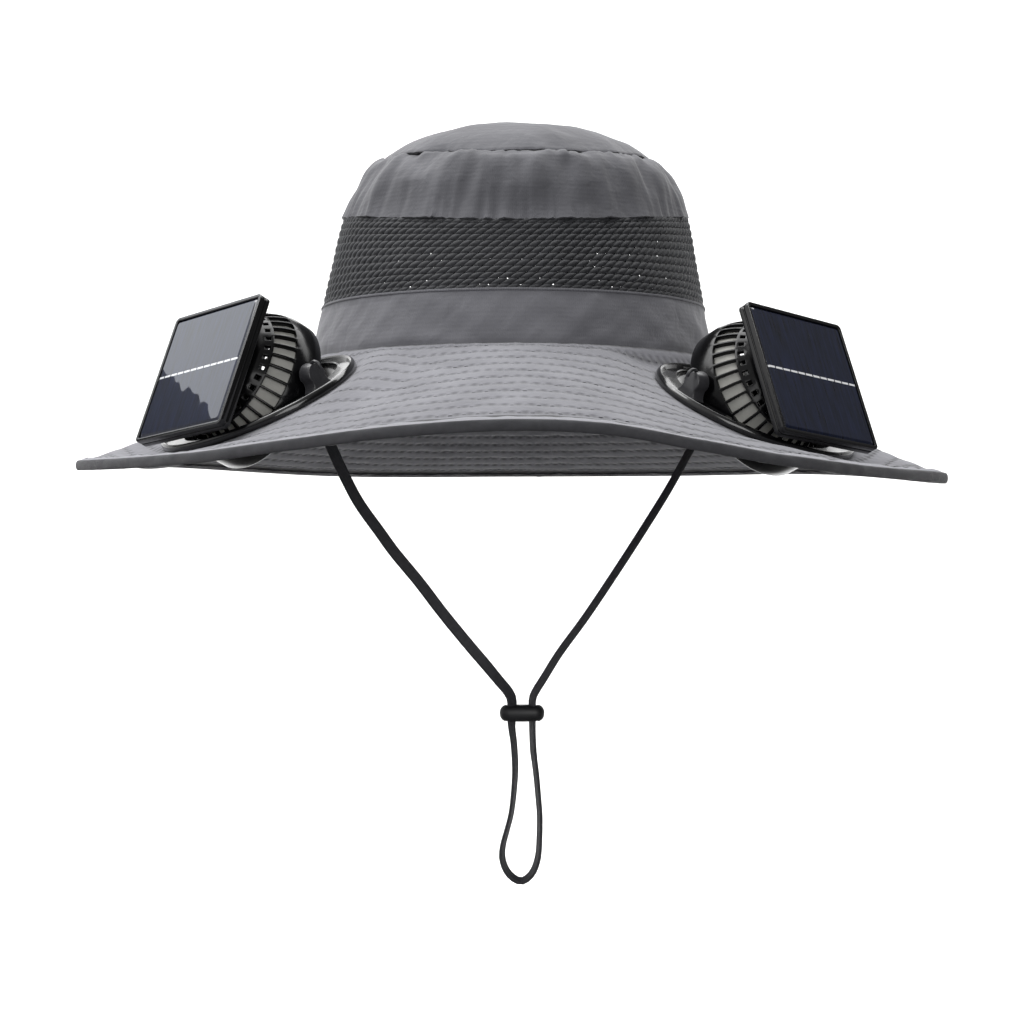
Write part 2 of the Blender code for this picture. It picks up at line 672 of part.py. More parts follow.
def make_impeller(seat, material):
    place = fan_matrix(seat)
    rings = [circle(radius, height, HUB_FACETS) for radius, height in (
        (HUB_RADIUS, -HUB_FRONT), (HUB_RADIUS, HUB_BACK), (HUB_BORE, HUB_BACK),
        (HUB_BORE, -HUB_FRONT))]
    impeller = new_object(f"impeller_{seat.name}", ring_solid(rings), material, place)
    blades = bmesh.new()
    for blade in range(BLADE_COUNT):
        made = []
        for station in BLADE_STATIONS:
            sweep = math.radians(station.sweep) * seat.side
            turn = 2 * math.pi * blade / BLADE_COUNT + sweep
            out = Vector((math.cos(turn), math.sin(turn), 0.0))
            along = Vector((-math.sin(turn), math.cos(turn), 0.0)) * seat.side
            lean = math.radians(station.pitch)
            chord_way = along * math.cos(lean) + Vector((0, 0, 1)) * math.sin(lean)
            thick_way = out.cross(chord_way)
            half = chord_way * BLADE_REACH * station.chord / 2
            skin = thick_way * BLADE_THICKNESS / 2
            middle = out * BLADE_REACH * station.reach - Vector((0, 0, (HUB_FRONT - HUB_BACK) / 2))
            corners = (-half - skin, half - skin, half + skin, -half + skin)
            made.append([blades.verts.new(middle + corner) for corner in corners])
        for first, second in zip(made, made[1:]):
            bridge(blades, first, second)
        blades.faces.new(reversed(made[0]))
        blades.faces.new(made[-1])
    combine(impeller, new_object(f"blades_{seat.name}", blades, None, place), "UNION")
    return impeller


def rounded_square(side, corner, height):
    half = side / 2 - corner
    outline = []
    steps = 3
    for across, along, start in ((1, 1, 0), (-1, 1, 90), (-1, -1, 180), (1, -1, 270)):
        for i in range(steps + 1):
            turn = math.radians(start + 90 * i / steps)
            outline.append((across * half + corner * math.cos(turn),
                            along * half + corner * math.sin(turn), height))
    return outline


def make_panel(seat, frame_material, cell_material):
    place = fan_matrix(seat) @ Matrix.Translation((0, -PANEL_DROP, 0))
    low = HOUSING_BACK + PANEL_PAD
    high = low + PANEL_THICKNESS
    window = PANEL_SIDE - 2 * PANEL_LIP
    floor = high - CELL_DEPTH
    corner = PANEL_CORNER - PANEL_LIP / 2
    frame = new_object(f"solar_frame_{seat.name}", capped_solid([
        rounded_square(PANEL_SIDE, PANEL_CORNER, low),
        rounded_square(PANEL_SIDE, PANEL_CORNER, high),
        rounded_square(window, corner, high),
        rounded_square(window, corner, floor)]), frame_material, place)
    pad = cylinder(f"pad_{seat.name}", PANEL_PAD_RADIUS, HOUSING_BACK + GAP,
                   low + PANEL_THICKNESS / 4, PAD_FACETS, fan_matrix(seat))
    combine(frame, pad, "UNION")
    glass = window - 2 * GAP
    cell = new_object(f"solar_cell_{seat.name}", capped_solid([
        rounded_square(glass, corner, floor + GAP),
        rounded_square(glass, corner, high - CELL_BEVEL / 2),
        rounded_square(glass - 2 * CELL_BEVEL, corner, high)]), cell_material, place)
    return frame, cell


def smooth_route(points, spacing):
    fine = []
    count = len(points)
    steps = 20
    for i in range(count - 1):
        before = points[max(i - 1, 0)]
        after = points[min(i + 2, count - 1)]
        for step in range(steps):
            fine.append(catmull(before, points[i], points[i + 1], after, step / steps))
    fine.append(points[-1])
    length = sum((b - a).length for a, b in zip(fine, fine[1:]))
    wanted = length / round(length / spacing)
    even = [fine[0]]
    travelled = 0.0
    for a, b in zip(fine, fine[1:]):
        run = (b - a).length
        while travelled + run >= wanted * len(even) and len(even) < round(length / spacing):
            even.append(a.lerp(b, (wanted * len(even) - travelled) / run))
        travelled += run
    even.append(fine[-1])
    return even


def make_strap(material):
    route = smooth_route([Vector(point) for point in STRAP_ROUTE], STRAP_SPACING)
    curve = bpy.data.curves.new("chin_strap", "CURVE")
    curve.dimensions = "3D"
    curve.bevel_depth = STRAP_WIDTH / 2
    curve.bevel_resolution = 2
    curve.use_fill_caps = True
    spline = curve.splines.new("POLY")
    spline.points.add(len(route) - 1)
    for point, place in zip(spline.points, route):
        point.co = (*place, 1.0)
    curve.materials.append(material)
    strap = bpy.data.objects.new("chin_strap", curve)
    bpy.context.collection.objects.link(strap)
    return strap


def stadium(length, depth, inset, height, steps):
    radius = depth / 2 - inset
    centre = length / 2 - depth / 2
    outline = []
    for side, start in ((1, -math.pi / 2), (-1, math.pi / 2)):
        for i in range(steps + 1):
            turn = start + math.pi * i / steps
            outline.append((side * centre + radius * math.cos(turn), radius * math.sin(turn), height))
    return outline


def make_toggle(material):
    straight = TOGGLE_HEIGHT / 2 - TOGGLE_ROUND
    steps = 2
    turns = [math.pi / 2 * i / steps for i in range(steps + 1)]
    rings = []
    for end, rounding in ((-1, turns[::-1]), (1, turns)):
        for turn in rounding:
            rings.append(stadium(
                TOGGLE_LENGTH, TOGGLE_DEPTH, TOGGLE_ROUND * (1 - math.cos(turn)) / 2,
                end * (straight + TOGGLE_ROUND * math.sin(turn)), 6))
    place = Matrix.Translation(TOGGLE_CENTRE)
    toggle = new_object("cord_toggle", capped_solid(rings), material, place)
    for end, side in (("left", -1), ("right", 1)):
        channel = cylinder(
            f"channel_{end}", STRAP_WIDTH / 2 + CHANNEL_CLEARANCE, -TOGGLE_HEIGHT, TOGGLE_HEIGHT,
            HUB_FACETS, place @ Matrix.Translation((side * CHANNEL_SPACING / 2, 0, 0)))
        combine(toggle, channel, "DIFFERENCE")
    return toggle


def main():
    for obj in list(bpy.data.objects):
        bpy.data.objects.remove(obj)
    cloth = new_material("Grey polyester cloth", (0.105, 0.105, 0.115), 0.85)
    mesh_cloth = new_material("Black air mesh", (0.022, 0.023, 0.028), 0.9)
    quilted = new_material("Quilted grey brim", (0.16, 0.16, 0.17), 0.85)
    tape = new_material("Grey binding tape", (0.13, 0.13, 0.14), 0.8)
    gloss = new_material("Gloss black plastic", (0.006, 0.006, 0.007), 0.2)
    matte = new_material("Matte black plastic", (0.02, 0.02, 0.022), 0.5)
    cell = new_material("Solar cell", (0.01, 0.013, 0.03), 0.08)
    webbing = new_material("Black webbing", (0.018, 0.018, 0.02), 0.9)

    crown_band("crown_lower", LOWER_ROWS, cloth)
    crown_band("crown_mesh", MESH_ROWS, mesh_cloth)
    crown_band("crown_upper", UPPER_ROWS, cloth)
    crown_tip("crown_top", TIP_ROWS, cloth)
    brim = make_brim(quilted)
    make_binding(tape)
    for seat in SEATS:
        hole = cylinder(f"brim_hole_{seat.name}", BRIM_HOLE, -SKIRT_DEPTH * 2, SKIRT_DEPTH * 2,
                        ROUND_FACETS, seat_matrix(seat, SEAT_LEAN, 0.0))
        combine(brim, hole, "DIFFERENCE")
        make_bezel(seat, gloss)
        make_clamp_ring(seat, matte)
        make_housing(seat, gloss)
        make_grille(seat, matte)
        make_impeller(seat, matte)
        make_panel(seat, gloss, cell)
    make_strap(webbing)
    make_toggle(matte)


main()
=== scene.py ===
import math

import bpy
from mathutils import Matrix, Vector, noise


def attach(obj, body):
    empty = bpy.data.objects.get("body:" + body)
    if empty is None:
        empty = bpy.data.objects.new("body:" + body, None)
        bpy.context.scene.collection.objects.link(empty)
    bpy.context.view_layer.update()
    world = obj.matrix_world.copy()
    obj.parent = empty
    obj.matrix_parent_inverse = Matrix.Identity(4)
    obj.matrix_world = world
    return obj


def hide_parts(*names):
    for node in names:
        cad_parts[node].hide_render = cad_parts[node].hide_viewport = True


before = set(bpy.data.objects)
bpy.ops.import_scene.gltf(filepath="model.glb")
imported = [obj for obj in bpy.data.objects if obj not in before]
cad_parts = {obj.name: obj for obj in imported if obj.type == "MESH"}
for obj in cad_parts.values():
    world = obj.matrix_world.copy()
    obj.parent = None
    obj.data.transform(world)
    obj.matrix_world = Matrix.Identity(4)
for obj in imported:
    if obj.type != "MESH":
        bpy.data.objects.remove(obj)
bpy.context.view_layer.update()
print("frame loaded")

# Everything is in metres, +Z up, -Y towards the front. Azimuths are degrees from the front
# towards +X. The origin is the middle of the head opening.

crown = {"halfWidth": 0.0875, "halfDepth": 0.100, "height": 0.0998, "shift": 0.0026,
         "cloth": 0.0012, "foldDepth": 0.0036, "riseTurn": 1.3, "top": 8}
# side rise, front rise, back rise, half width, front depth, back depth, as shares
crownRows = (
    (0.000, 0.000, 0.000, 1.000, 1.000, 1.000),
    (0.214, 0.202, 0.214, 0.944, 0.955, 0.955),
    (0.620, 0.500, 0.585, 0.852, 0.812, 0.845),
    (0.760, 0.665, 0.730, 0.793, 0.770, 0.788),
    (0.828, 0.755, 0.805, 0.735, 0.728, 0.735),
    (0.862, 0.800, 0.848, 0.675, 0.672, 0.682),
    (0.925, 0.895, 0.915, 0.560, 0.550, 0.555),
    (0.986, 0.978, 0.984, 0.330, 0.330, 0.335),
    (1.000, 1.000, 1.000, 0.000, 0.000, 0.000),
)
# azimuth, half angle, depth share, low section, high section, lean
folds = (
    (-36, 10, 1.00, 3.0, 5.4, 5), (-62, 9, 0.50, 2.2, 5.0, 3), (-17, 8, 0.42, 2.1, 4.6, -4),
    (1, 8, 0.34, 2.8, 5.1, 3), (17, 8, 0.50, 2.1, 4.8, 5), (34, 8, 0.38, 2.6, 5.2, -3),
    (52, 9, 0.60, 2.2, 5.1, 4), (76, 10, 0.44, 2.5, 5.2, -4), (101, 10, 0.56, 2.2, 5.0, 3),
    (126, 9, 0.42, 2.4, 5.2, -3), (150, 10, 0.60, 2.1, 5.0, 4), (174, 9, 0.46, 2.5, 5.2, -2),
    (198, 10, 0.58, 2.2, 4.9, 3), (222, 9, 0.44, 2.6, 5.2, -4), (248, 10, 0.54, 2.2, 5.1, 3),
    (272, 9, 0.50, 2.3, 5.0, -3),
)
brim = {"halfWidth": 0.1848, "halfDepth": 0.200, "thickness": 0.0022, "drop": 0.052,
        "bow": 1.34, "bindingWidth": 0.0048, "bindingWall": 0.0007, "gap": 0.0003,
        "frontBow": 1.0, "stitchRows": 11, "firstRow": 0.045, "lastRow": 0.905,
        "puff": 0.0004}
# azimuth, share of the brim's drop at its edge
edgeDrops = (
    (-152, 0.870), (-116, 0.815), (-90, 0.875), (-57, 0.919), (-38, 0.900), (-24, 0.825),
    (-12, 0.750), (0, 0.711), (10, 0.735), (19, 0.822), (30, 0.918), (46, 0.988), (66, 1.000),
    (90, 0.985), (125, 0.870), (152, 0.862), (180, 0.862),
)
seatSizes = {"lean": 29.0, "bank": 6.0, "margin": 0.004, "fade": 0.50, "restTilt": 36.0,
             "pivotHeight": 0.0065, "halfLength": 0.046, "halfWidth": 0.0375, "offset": 0.002,
             "cut": 0.0343}
# name, side, azimuth, share of the way to the edge, share of the drop, azimuth that it faces
seats = (
    ("left", -1, 50.5, 0.400, 0.465, 45.0),
    ("right", 1, 49.6, 0.366, 0.520, 41.0),
)
strap = {"width": 0.005, "thickness": 0.0013, "step": 0.0022}
strapRoute = (
    (-0.0895, -0.0056), (-0.0882, -0.0130), (-0.0846, -0.0240), (-0.0791, -0.0372),
    (-0.0732, -0.0501), (-0.0668, -0.0621), (-0.0581, -0.0743), (-0.0511, -0.0839),
    (-0.0406, -0.0966), (-0.0306, -0.1097), (-0.0201, -0.1226), (-0.0114, -0.1328),
    (-0.0061, -0.1392), (-0.0018, -0.1443), (-0.0001, -0.1480), (-0.0001, -0.1538),
    (-0.0001, -0.1600), (0.0008, -0.1670), (0.0014, -0.1774), (0.0009, -0.1874),
    (-0.0003, -0.1975), (-0.0022, -0.2050), (-0.0040, -0.2120), (-0.0041, -0.2180),
    (-0.0014, -0.2240), (0.0038, -0.2272), (0.0086, -0.2240), (0.0113, -0.2170),
    (0.0120, -0.2075), (0.0121, -0.1988), (0.0114, -0.1896), (0.0105, -0.1800),
    (0.0093, -0.1700), (0.0089, -0.1600), (0.0089, -0.1538), (0.0089, -0.1480),
    (0.0103, -0.1443), (0.0140, -0.1384), (0.0210, -0.1272), (0.0319, -0.1123),
    (0.0437, -0.0948), (0.0559, -0.0760), (0.0681, -0.0564), (0.0778, -0.0389),
    (0.0846, -0.0260), (0.0890, -0.0150), (0.0908, -0.0068),
)
# share of the strap's length, and degrees that its face is turned from the front
strapTwists = ((0.0, -70), (0.06, -12), (0.20, 6), (0.28, 12), (0.33, 34), (0.38, 62),
               (0.44, 70), (0.50, 63), (0.56, 70), (0.64, 66), (0.68, 58), (0.74, 60),
               (0.86, 58), (0.95, 62), (1.0, 75))


# Shapes that the pieces share

def smoothStep(share):
    share = min(1.0, max(0.0, share))
    return share * share * (3 - 2 * share)


def catmull(before, start, end, after, share):
    return 0.5 * (2 * start + (end - before) * share
                  + (2 * before - 5 * start + 4 * end - after) * share ** 2
                  + (3 * start - before - 3 * end + after) * share ** 3)


def ripple(*place):
    return noise.noise(Vector(place))


def crownRow(index):
    if index < 0:
        return [2 * a - b for a, b in zip(crownRows[0], crownRows[1])]
    if index > crown["top"]:
        row = crownRows[2 * crown["top"] - index]
        return [*row[:3], *(-value for value in row[3:])]
    return crownRows[index]


def foldDepth(azimuth, section):
    depth = 0.0
    for at, half, share, low, high, lean in folds:
        along = (section - low) / (high - low)
        if 0 < along < 1:
            off = (azimuth - at - lean * (along - 0.5) + 180) % 360 - 180
            bell = smoothStep(1 - abs(off) / half)
            depth += crown["foldDepth"] * share * bell * math.sin(math.pi * along)
    return depth


def crownSurface(azimuth, section):
    index = min(int(section), crown["top"] - 1)
    rows = [crownRow(index + step) for step in (-1, 0, 1, 2)]
    sideRise, frontRise, backRise, width, frontDepth, backDepth = (
        catmull(*column, section - index) for column in zip(*rows))
    turn = math.radians(azimuth)
    ahead = math.cos(turn)
    depth, endRise = (frontDepth, frontRise) if ahead > 0 else (backDepth, backRise)
    rise = sideRise + (endRise - sideRise) * abs(ahead) ** crown["riseTurn"]
    inward = foldDepth(azimuth, section)
    return Vector(((crown["halfWidth"] * width - inward) * math.sin(turn) + crown["shift"] * rise,
                   -(crown["halfDepth"] * depth - inward) * ahead,
                   crown["height"] * rise))


def crownPoint(azimuth, section, outward=0.0, slide=0.0):
    here = crownSurface(azimuth, section)
    up = crownSurface(azimuth, section + 0.02) - crownSurface(azimuth, section - 0.02)
    around = crownSurface(azimuth + 0.3, section) - crownSurface(azimuth - 0.3, section)
    return here + up.normalized() * slide + around.cross(up).normalized() * outward


def brimPlan(azimuth, share):
    turn = math.radians(azimuth)
    reach = brim["bindingWall"] + brim["gap"]
    return ((crown["halfWidth"] + (brim["halfWidth"] - reach - crown["halfWidth"]) * share)
            * math.sin(turn),
            -(crown["halfDepth"] + (brim["halfDepth"] - reach - crown["halfDepth"]) * share)
            * math.cos(turn))


def seatMatrix(seat, lean, height):
    # X runs along the pivot, Y up the brim towards the crown, Z out along the fan's axis
    name, side, azimuth, share, drop, faces = seat
    facing, bank = math.radians(faces), math.radians(seatSizes["bank"])
    outward = Vector((side * math.sin(facing), -math.cos(facing), 0.0))
    forward = Vector((-side * math.cos(facing), -math.sin(facing), 0.0))
    up = Vector((0.0, 0.0, 1.0))
    xAxis = (forward * math.cos(bank) + up * math.sin(bank)) * -side
    level = up * math.cos(bank) - forward * math.sin(bank)
    seatLean = math.radians(seatSizes["lean"])
    normal = level * math.cos(seatLean) + outward * math.sin(seatLean)
    zAxis = level * math.cos(math.radians(lean)) + outward * math.sin(math.radians(lean))
    place = Matrix((xAxis, zAxis.cross(xAxis), zAxis)).transposed().to_4x4()
    centre = Vector((*brimPlan(side * azimuth, share), -brim["drop"] * drop))
    place.translation = centre + normal * height
    return place


def fanMatrix(seat):
    return seatMatrix(seat, seatSizes["lean"] + seatSizes["restTilt"], seatSizes["pivotHeight"])


seatPlaces = [seatMatrix(seat, seatSizes["lean"], 0.0) for seat in seats]
seatInverses = [place.inverted() for place in seatPlaces]


def edgeDrop(azimuth):
    count = len(edgeDrops)
    for i, (start, drop) in enumerate(edgeDrops):
        following, nextDrop = edgeDrops[(i + 1) % count]
        span = (following - start) % 360
        ahead = (azimuth - start) % 360
        if ahead < span:
            return brim["drop"] * catmull(
                edgeDrops[i - 1][1], drop, nextDrop, edgeDrops[(i + 2) % count][1], ahead / span)
    return brim["drop"]


def seatReach(x, y, place, inverse):
    normal, centre = place.col[2], place.translation
    z = centre.z - (normal.x * (x - centre.x) + normal.y * (y - centre.y)) / normal.z
    local = inverse @ Vector((x, y, z))
    return math.hypot(
        local.x / (seatSizes["halfLength"] + seatSizes["margin"]),
        (local.y + seatSizes["offset"]) / (seatSizes["halfWidth"] + seatSizes["margin"])), z


def brimPoint(azimuth, share, below=0.0, beyond=0.0):
    # the second value is 1 on the flat seats and 0 away from them
    turn = math.radians(azimuth)
    x, y = brimPlan(azimuth, share)
    seam = brim["gap"] + crown["cloth"] * 0.35
    edge = edgeDrop(azimuth) - seam - brim["bindingWall"] - brim["gap"]
    ahead = abs((azimuth + 180) % 360 - 180)
    bow = brim["frontBow"] + (brim["bow"] - brim["frontBow"]) * smoothStep(ahead / 30)
    z = -seam - edge * (bow * share - (bow - 1) * share ** 2)
    flatness = 0.0
    for place, inverse in zip(seatPlaces, seatInverses):
        reach, seatZ = seatReach(x, y, place, inverse)
        flat = 1 - smoothStep((reach - 1) / seatSizes["fade"])
        flat *= smoothStep(share / 0.07)
        z += (seatZ - z) * flat
        flatness = max(flatness, flat)
    return Vector((x + beyond * math.sin(turn), y - beyond * math.cos(turn), z - below)), flatness


def smoothRoute(points, step):
    fine = []
    for i in range(len(points) - 1):
        before, after = points[max(i - 1, 0)], points[min(i + 2, len(points) - 1)]
        fine += [catmull(before, points[i], points[i + 1], after, k / 20) for k in range(20)]
    fine.append(points[-1])
    length = sum((b - a).length for a, b in zip(fine, fine[1:]))
    count = round(length / step)
    even, travelled = [fine[0]], 0.0
    for a, b in zip(fine, fine[1:]):
        run = (b - a).length
        while len(even) < count and travelled + run >= length / count * len(even):
            even.append(a.lerp(b, (length / count * len(even) - travelled) / run))
        travelled += run
    even.append(fine[-1])
    return even, length


# Modelling helpers

def deselectAll():
    if bpy.context.object and bpy.context.object.mode != "OBJECT":
        bpy.ops.object.mode_set(mode="OBJECT")
    bpy.ops.object.select_all(action="DESELECT")


def pick(piece):
    deselectAll()
    piece.select_set(True)
    bpy.context.view_layer.objects.active = piece
    return piece


def applyAll(piece):
    pick(piece)
    for modifier in list(piece.modifiers):
        bpy.ops.object.modifier_apply(modifier=modifier.name)
    return piece


def selectOnly(piece, kind, test):
    # leaves the piece in edit mode with just the parts selected that pass the test
    pick(piece)
    bpy.ops.object.mode_set(mode="EDIT")
    bpy.ops.mesh.select_mode(type=kind)
    bpy.ops.mesh.select_all(action="DESELECT")
    bpy.ops.object.mode_set(mode="OBJECT")
    mesh = piece.data
    parts = {"VERT": mesh.vertices, "EDGE": mesh.edges, "FACE": mesh.polygons}[kind]
    for part in parts:
        part.select = test(part)
    bpy.ops.object.mode_set(mode="EDIT")


def leaveEdit():
    bpy.ops.mesh.select_mode(type="VERT")
    bpy.ops.object.mode_set(mode="OBJECT")


def tidyMesh(piece, merge=None, dissolve=False):
    # merges the points that meet and turns every face outwards
    pick(piece)
    bpy.ops.object.mode_set(mode="EDIT")
    bpy.ops.mesh.select_all(action="SELECT")
    if merge:
        bpy.ops.mesh.remove_doubles(threshold=merge)
    if dissolve:
        bpy.ops.mesh.dissolve_degenerate(threshold=merge)
    bpy.ops.mesh.normals_make_consistent(inside=False)
    bpy.ops.object.mode_set(mode="OBJECT")
    return piece


def named(piece, name):
    piece.name = piece.data.name = name
    return piece


def settle(piece, place=None):
    # puts the place into the mesh, so that the object itself stays at the origin
    pick(piece)
    if place:
        piece.matrix_world = place @ piece.matrix_world
    bpy.ops.object.transform_apply(location=True, rotation=True, scale=True)
    return piece


def dress(piece, material, body, slot, *nodes, angle=40):
    piece.data.materials.clear()
    piece.data.materials.append(material)
    pick(piece)
    bpy.ops.object.shade_smooth_by_angle(angle=math.radians(angle))
    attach(piece, body)
    if nodes:
        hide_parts(*nodes)
    return piece


def joinAll(name, pieces):
    deselectAll()
    for piece in pieces:
        piece.select_set(True)
    bpy.context.view_layer.objects.active = pieces[0]
    bpy.ops.object.join()
    return named(pieces[0], name)


def wrappedGrid(name, columns, rows, shape):
    # a grid whose every point is moved to shape(u, v), with its seam merged
    deselectAll()
    bpy.ops.mesh.primitive_grid_add(x_subdivisions=columns, y_subdivisions=rows, size=2)
    piece = named(bpy.context.object, name)
    for vertex in piece.data.vertices:
        vertex.co = shape((vertex.co.x + 1) / 2, (vertex.co.y + 1) / 2)
    return tidyMesh(piece, 1e-6)


def repeated(name, pattern, places):
    # one mesh of many copies of a small pattern, which is removed
    points = [vertex.co.copy() for vertex in pattern.data.vertices]
    faces = [tuple(face.vertices) for face in pattern.data.polygons]
    bpy.data.objects.remove(pattern)
    verts, polygons = [], []
    for place in places:
        start = len(verts)
        verts += [place(point) for point in points]
        polygons += [tuple(start + i for i in face) for face in faces]
    mesh = bpy.data.meshes.new(name)
    mesh.from_pydata(verts, [], polygons)
    piece = bpy.data.objects.new(name, mesh)
    bpy.context.collection.objects.link(piece)
    return piece


def wall(piece, thickness):
    modifier = piece.modifiers.new("wall", "SOLIDIFY")
    modifier.thickness = thickness
    modifier.offset = -1
    return applyAll(piece)


def roundEdges(piece, width, segments=2, angle=30):
    modifier = piece.modifiers.new("edges", "BEVEL")
    modifier.width = width
    modifier.segments = segments
    modifier.limit_method = "ANGLE"
    modifier.angle_limit = math.radians(angle)
    modifier.use_clamp_overlap = True
    return applyAll(piece)


def extrudeOn(move, scale, middle=(0, 0, 0)):
    # extrudes what is selected and resizes its new end about a middle
    bpy.ops.mesh.extrude_region_move(TRANSFORM_OT_translate={"value": move})
    bpy.ops.transform.resize(value=(*scale, 1), center_override=middle)


def loftedPiece(name, rows, count, close="loop"):
    # rows are (half width, half depth, y, z): a circle extruded and resized from row to row
    deselectAll()
    wide, deep, y, z = rows[0]
    bpy.ops.mesh.primitive_circle_add(vertices=count, radius=1, location=(0, 0, 0))
    piece = named(bpy.context.object, name)
    bpy.ops.object.mode_set(mode="EDIT")
    bpy.ops.transform.resize(value=(wide, deep, 1), center_override=(0, 0, 0))
    bpy.ops.transform.translate(value=(0, y, z))
    if close == "caps":
        bpy.ops.mesh.edge_face_add()
    for (wide, deep, y, z), (nextWide, nextDeep, nextY, nextZ) in zip(rows, rows[1:]):
        extrudeOn((0, nextY - y, nextZ - z), (nextWide / wide, nextDeep / deep), (0, nextY, 0))
    if close == "loop":
        bpy.ops.mesh.select_all(action="DESELECT")
        bpy.ops.mesh.select_non_manifold()
        bpy.ops.mesh.bridge_edge_loops()
    return tidyMesh(piece)


def turned(name, rows, count, close="loop"):
    return loftedPiece(name, [(radius, radius, 0, height) for radius, height in rows], count, close)


def copied(piece, place):
    twin = piece.copy()
    twin.data = piece.data.copy()
    bpy.context.collection.objects.link(twin)
    twin.data.transform(place)
    return twin


def around(count, start=0.0):
    return [Matrix.Rotation(start + 2 * math.pi * i / count, 4, "Z") for i in range(count)]


def cut(piece, cutter):
    modifier = piece.modifiers.new("cut", "BOOLEAN")
    modifier.operation = "DIFFERENCE"
    modifier.solver = "EXACT"
    modifier.object = cutter
    pick(piece)
    bpy.ops.object.modifier_apply(modifier=modifier.name)
    bpy.data.objects.remove(cutter)
    return piece


# Materials

def srgb(text):
    parts = [int(text[i:i + 2], 16) / 255 for i in (0, 2, 4)]
    return (*(p / 12.92 if p <= 0.04045 else ((p + 0.055) / 1.055) ** 2.4 for p in parts), 1.0)


def setInputs(tree, node, values):
    # a value is a constant or another node's output
    for socket, value in values.items():
        if isinstance(value, bpy.types.NodeSocket):
            tree.links.new(value, node.inputs[socket])
        else:
            node.inputs[socket].default_value = value


def addNode(tree, kind, inputs=None, out=None, ramp=(), **settings):
    # gives back one output: the one named, or its factor, or its first
    node = tree.nodes.new("ShaderNode" + kind)
    for name, value in settings.items():
        setattr(node, name, value)
    setInputs(tree, node, inputs or {})
    for i, (position, colour) in enumerate(ramp):
        node.color_ramp.elements[i].position = position
        node.color_ramp.elements[i].color = srgb(colour)
    return node.outputs[out or ("Fac" if "Fac" in node.outputs else 0)]


def newMaterial(name):
    material = bpy.data.materials.new(name)
    material.use_nodes = True
    return material, material.node_tree, material.node_tree.nodes["Principled BSDF"]


def wovenCloth(name, dark, light):
    # Plain-woven polyester: matt, with a faint sheen at grazing angles, soft crumples a few
    # millimetres wide and a thread grid drawn at 0.9 mm, twice as coarse as the real one.
    material, tree, shader = newMaterial(name)
    place = addNode(tree, "TexCoord", out="Object")
    uv = addNode(tree, "TexCoord", out="UV")
    tone = addNode(tree, "TexNoise", {"Vector": place, "Scale": 38.0, "Detail": 4.0})
    colour = addNode(tree, "ValToRGB", {"Fac": tone}, ramp=((0.3, dark), (0.72, light)))
    crumple = addNode(tree, "TexNoise", {"Vector": place, "Scale": 130.0, "Detail": 3.0,
                                         "Roughness": 0.5, "Distortion": 0.4})
    weft = addNode(tree, "TexWave", {"Vector": place, "Scale": 177.0, "Distortion": 0.3},
                   bands_direction="Z")
    warp = addNode(tree, "TexWave", {"Vector": uv, "Scale": 188.0, "Distortion": 0.2},
                   bands_direction="X")
    weave = addNode(tree, "Math", {0: weft, 1: warp}, operation="MULTIPLY")
    soft = addNode(tree, "Bump", {"Strength": 0.55, "Distance": 0.0011, "Height": crumple})
    fine = addNode(tree, "Bump", {"Strength": 0.35, "Distance": 0.00012, "Height": weave,
                                  "Normal": soft})
    setInputs(tree, shader, {"Base Color": colour, "Normal": fine, "Roughness": 0.82,
                             "Sheen Weight": 0.22, "Sheen Roughness": 0.45})
    return material


def netCloth():
    # Warp-knitted net: dull filament yarn.
    material, tree, shader = newMaterial("knittedNet")
    place = addNode(tree, "TexCoord", out="Object")
    tone = addNode(tree, "TexNoise", {"Vector": place, "Scale": 900.0, "Detail": 2.0})
    colour = addNode(tree, "ValToRGB", {"Fac": tone}, ramp=((0.35, "15161a"), (0.75, "2a2b30")))
    bump = addNode(tree, "Bump", {"Strength": 0.6, "Distance": 0.00025, "Height": tone})
    setInputs(tree, shader, {"Base Color": colour, "Normal": bump, "Roughness": 0.72,
                             "Sheen Weight": 0.12, "Sheen Roughness": 0.4})
    return material


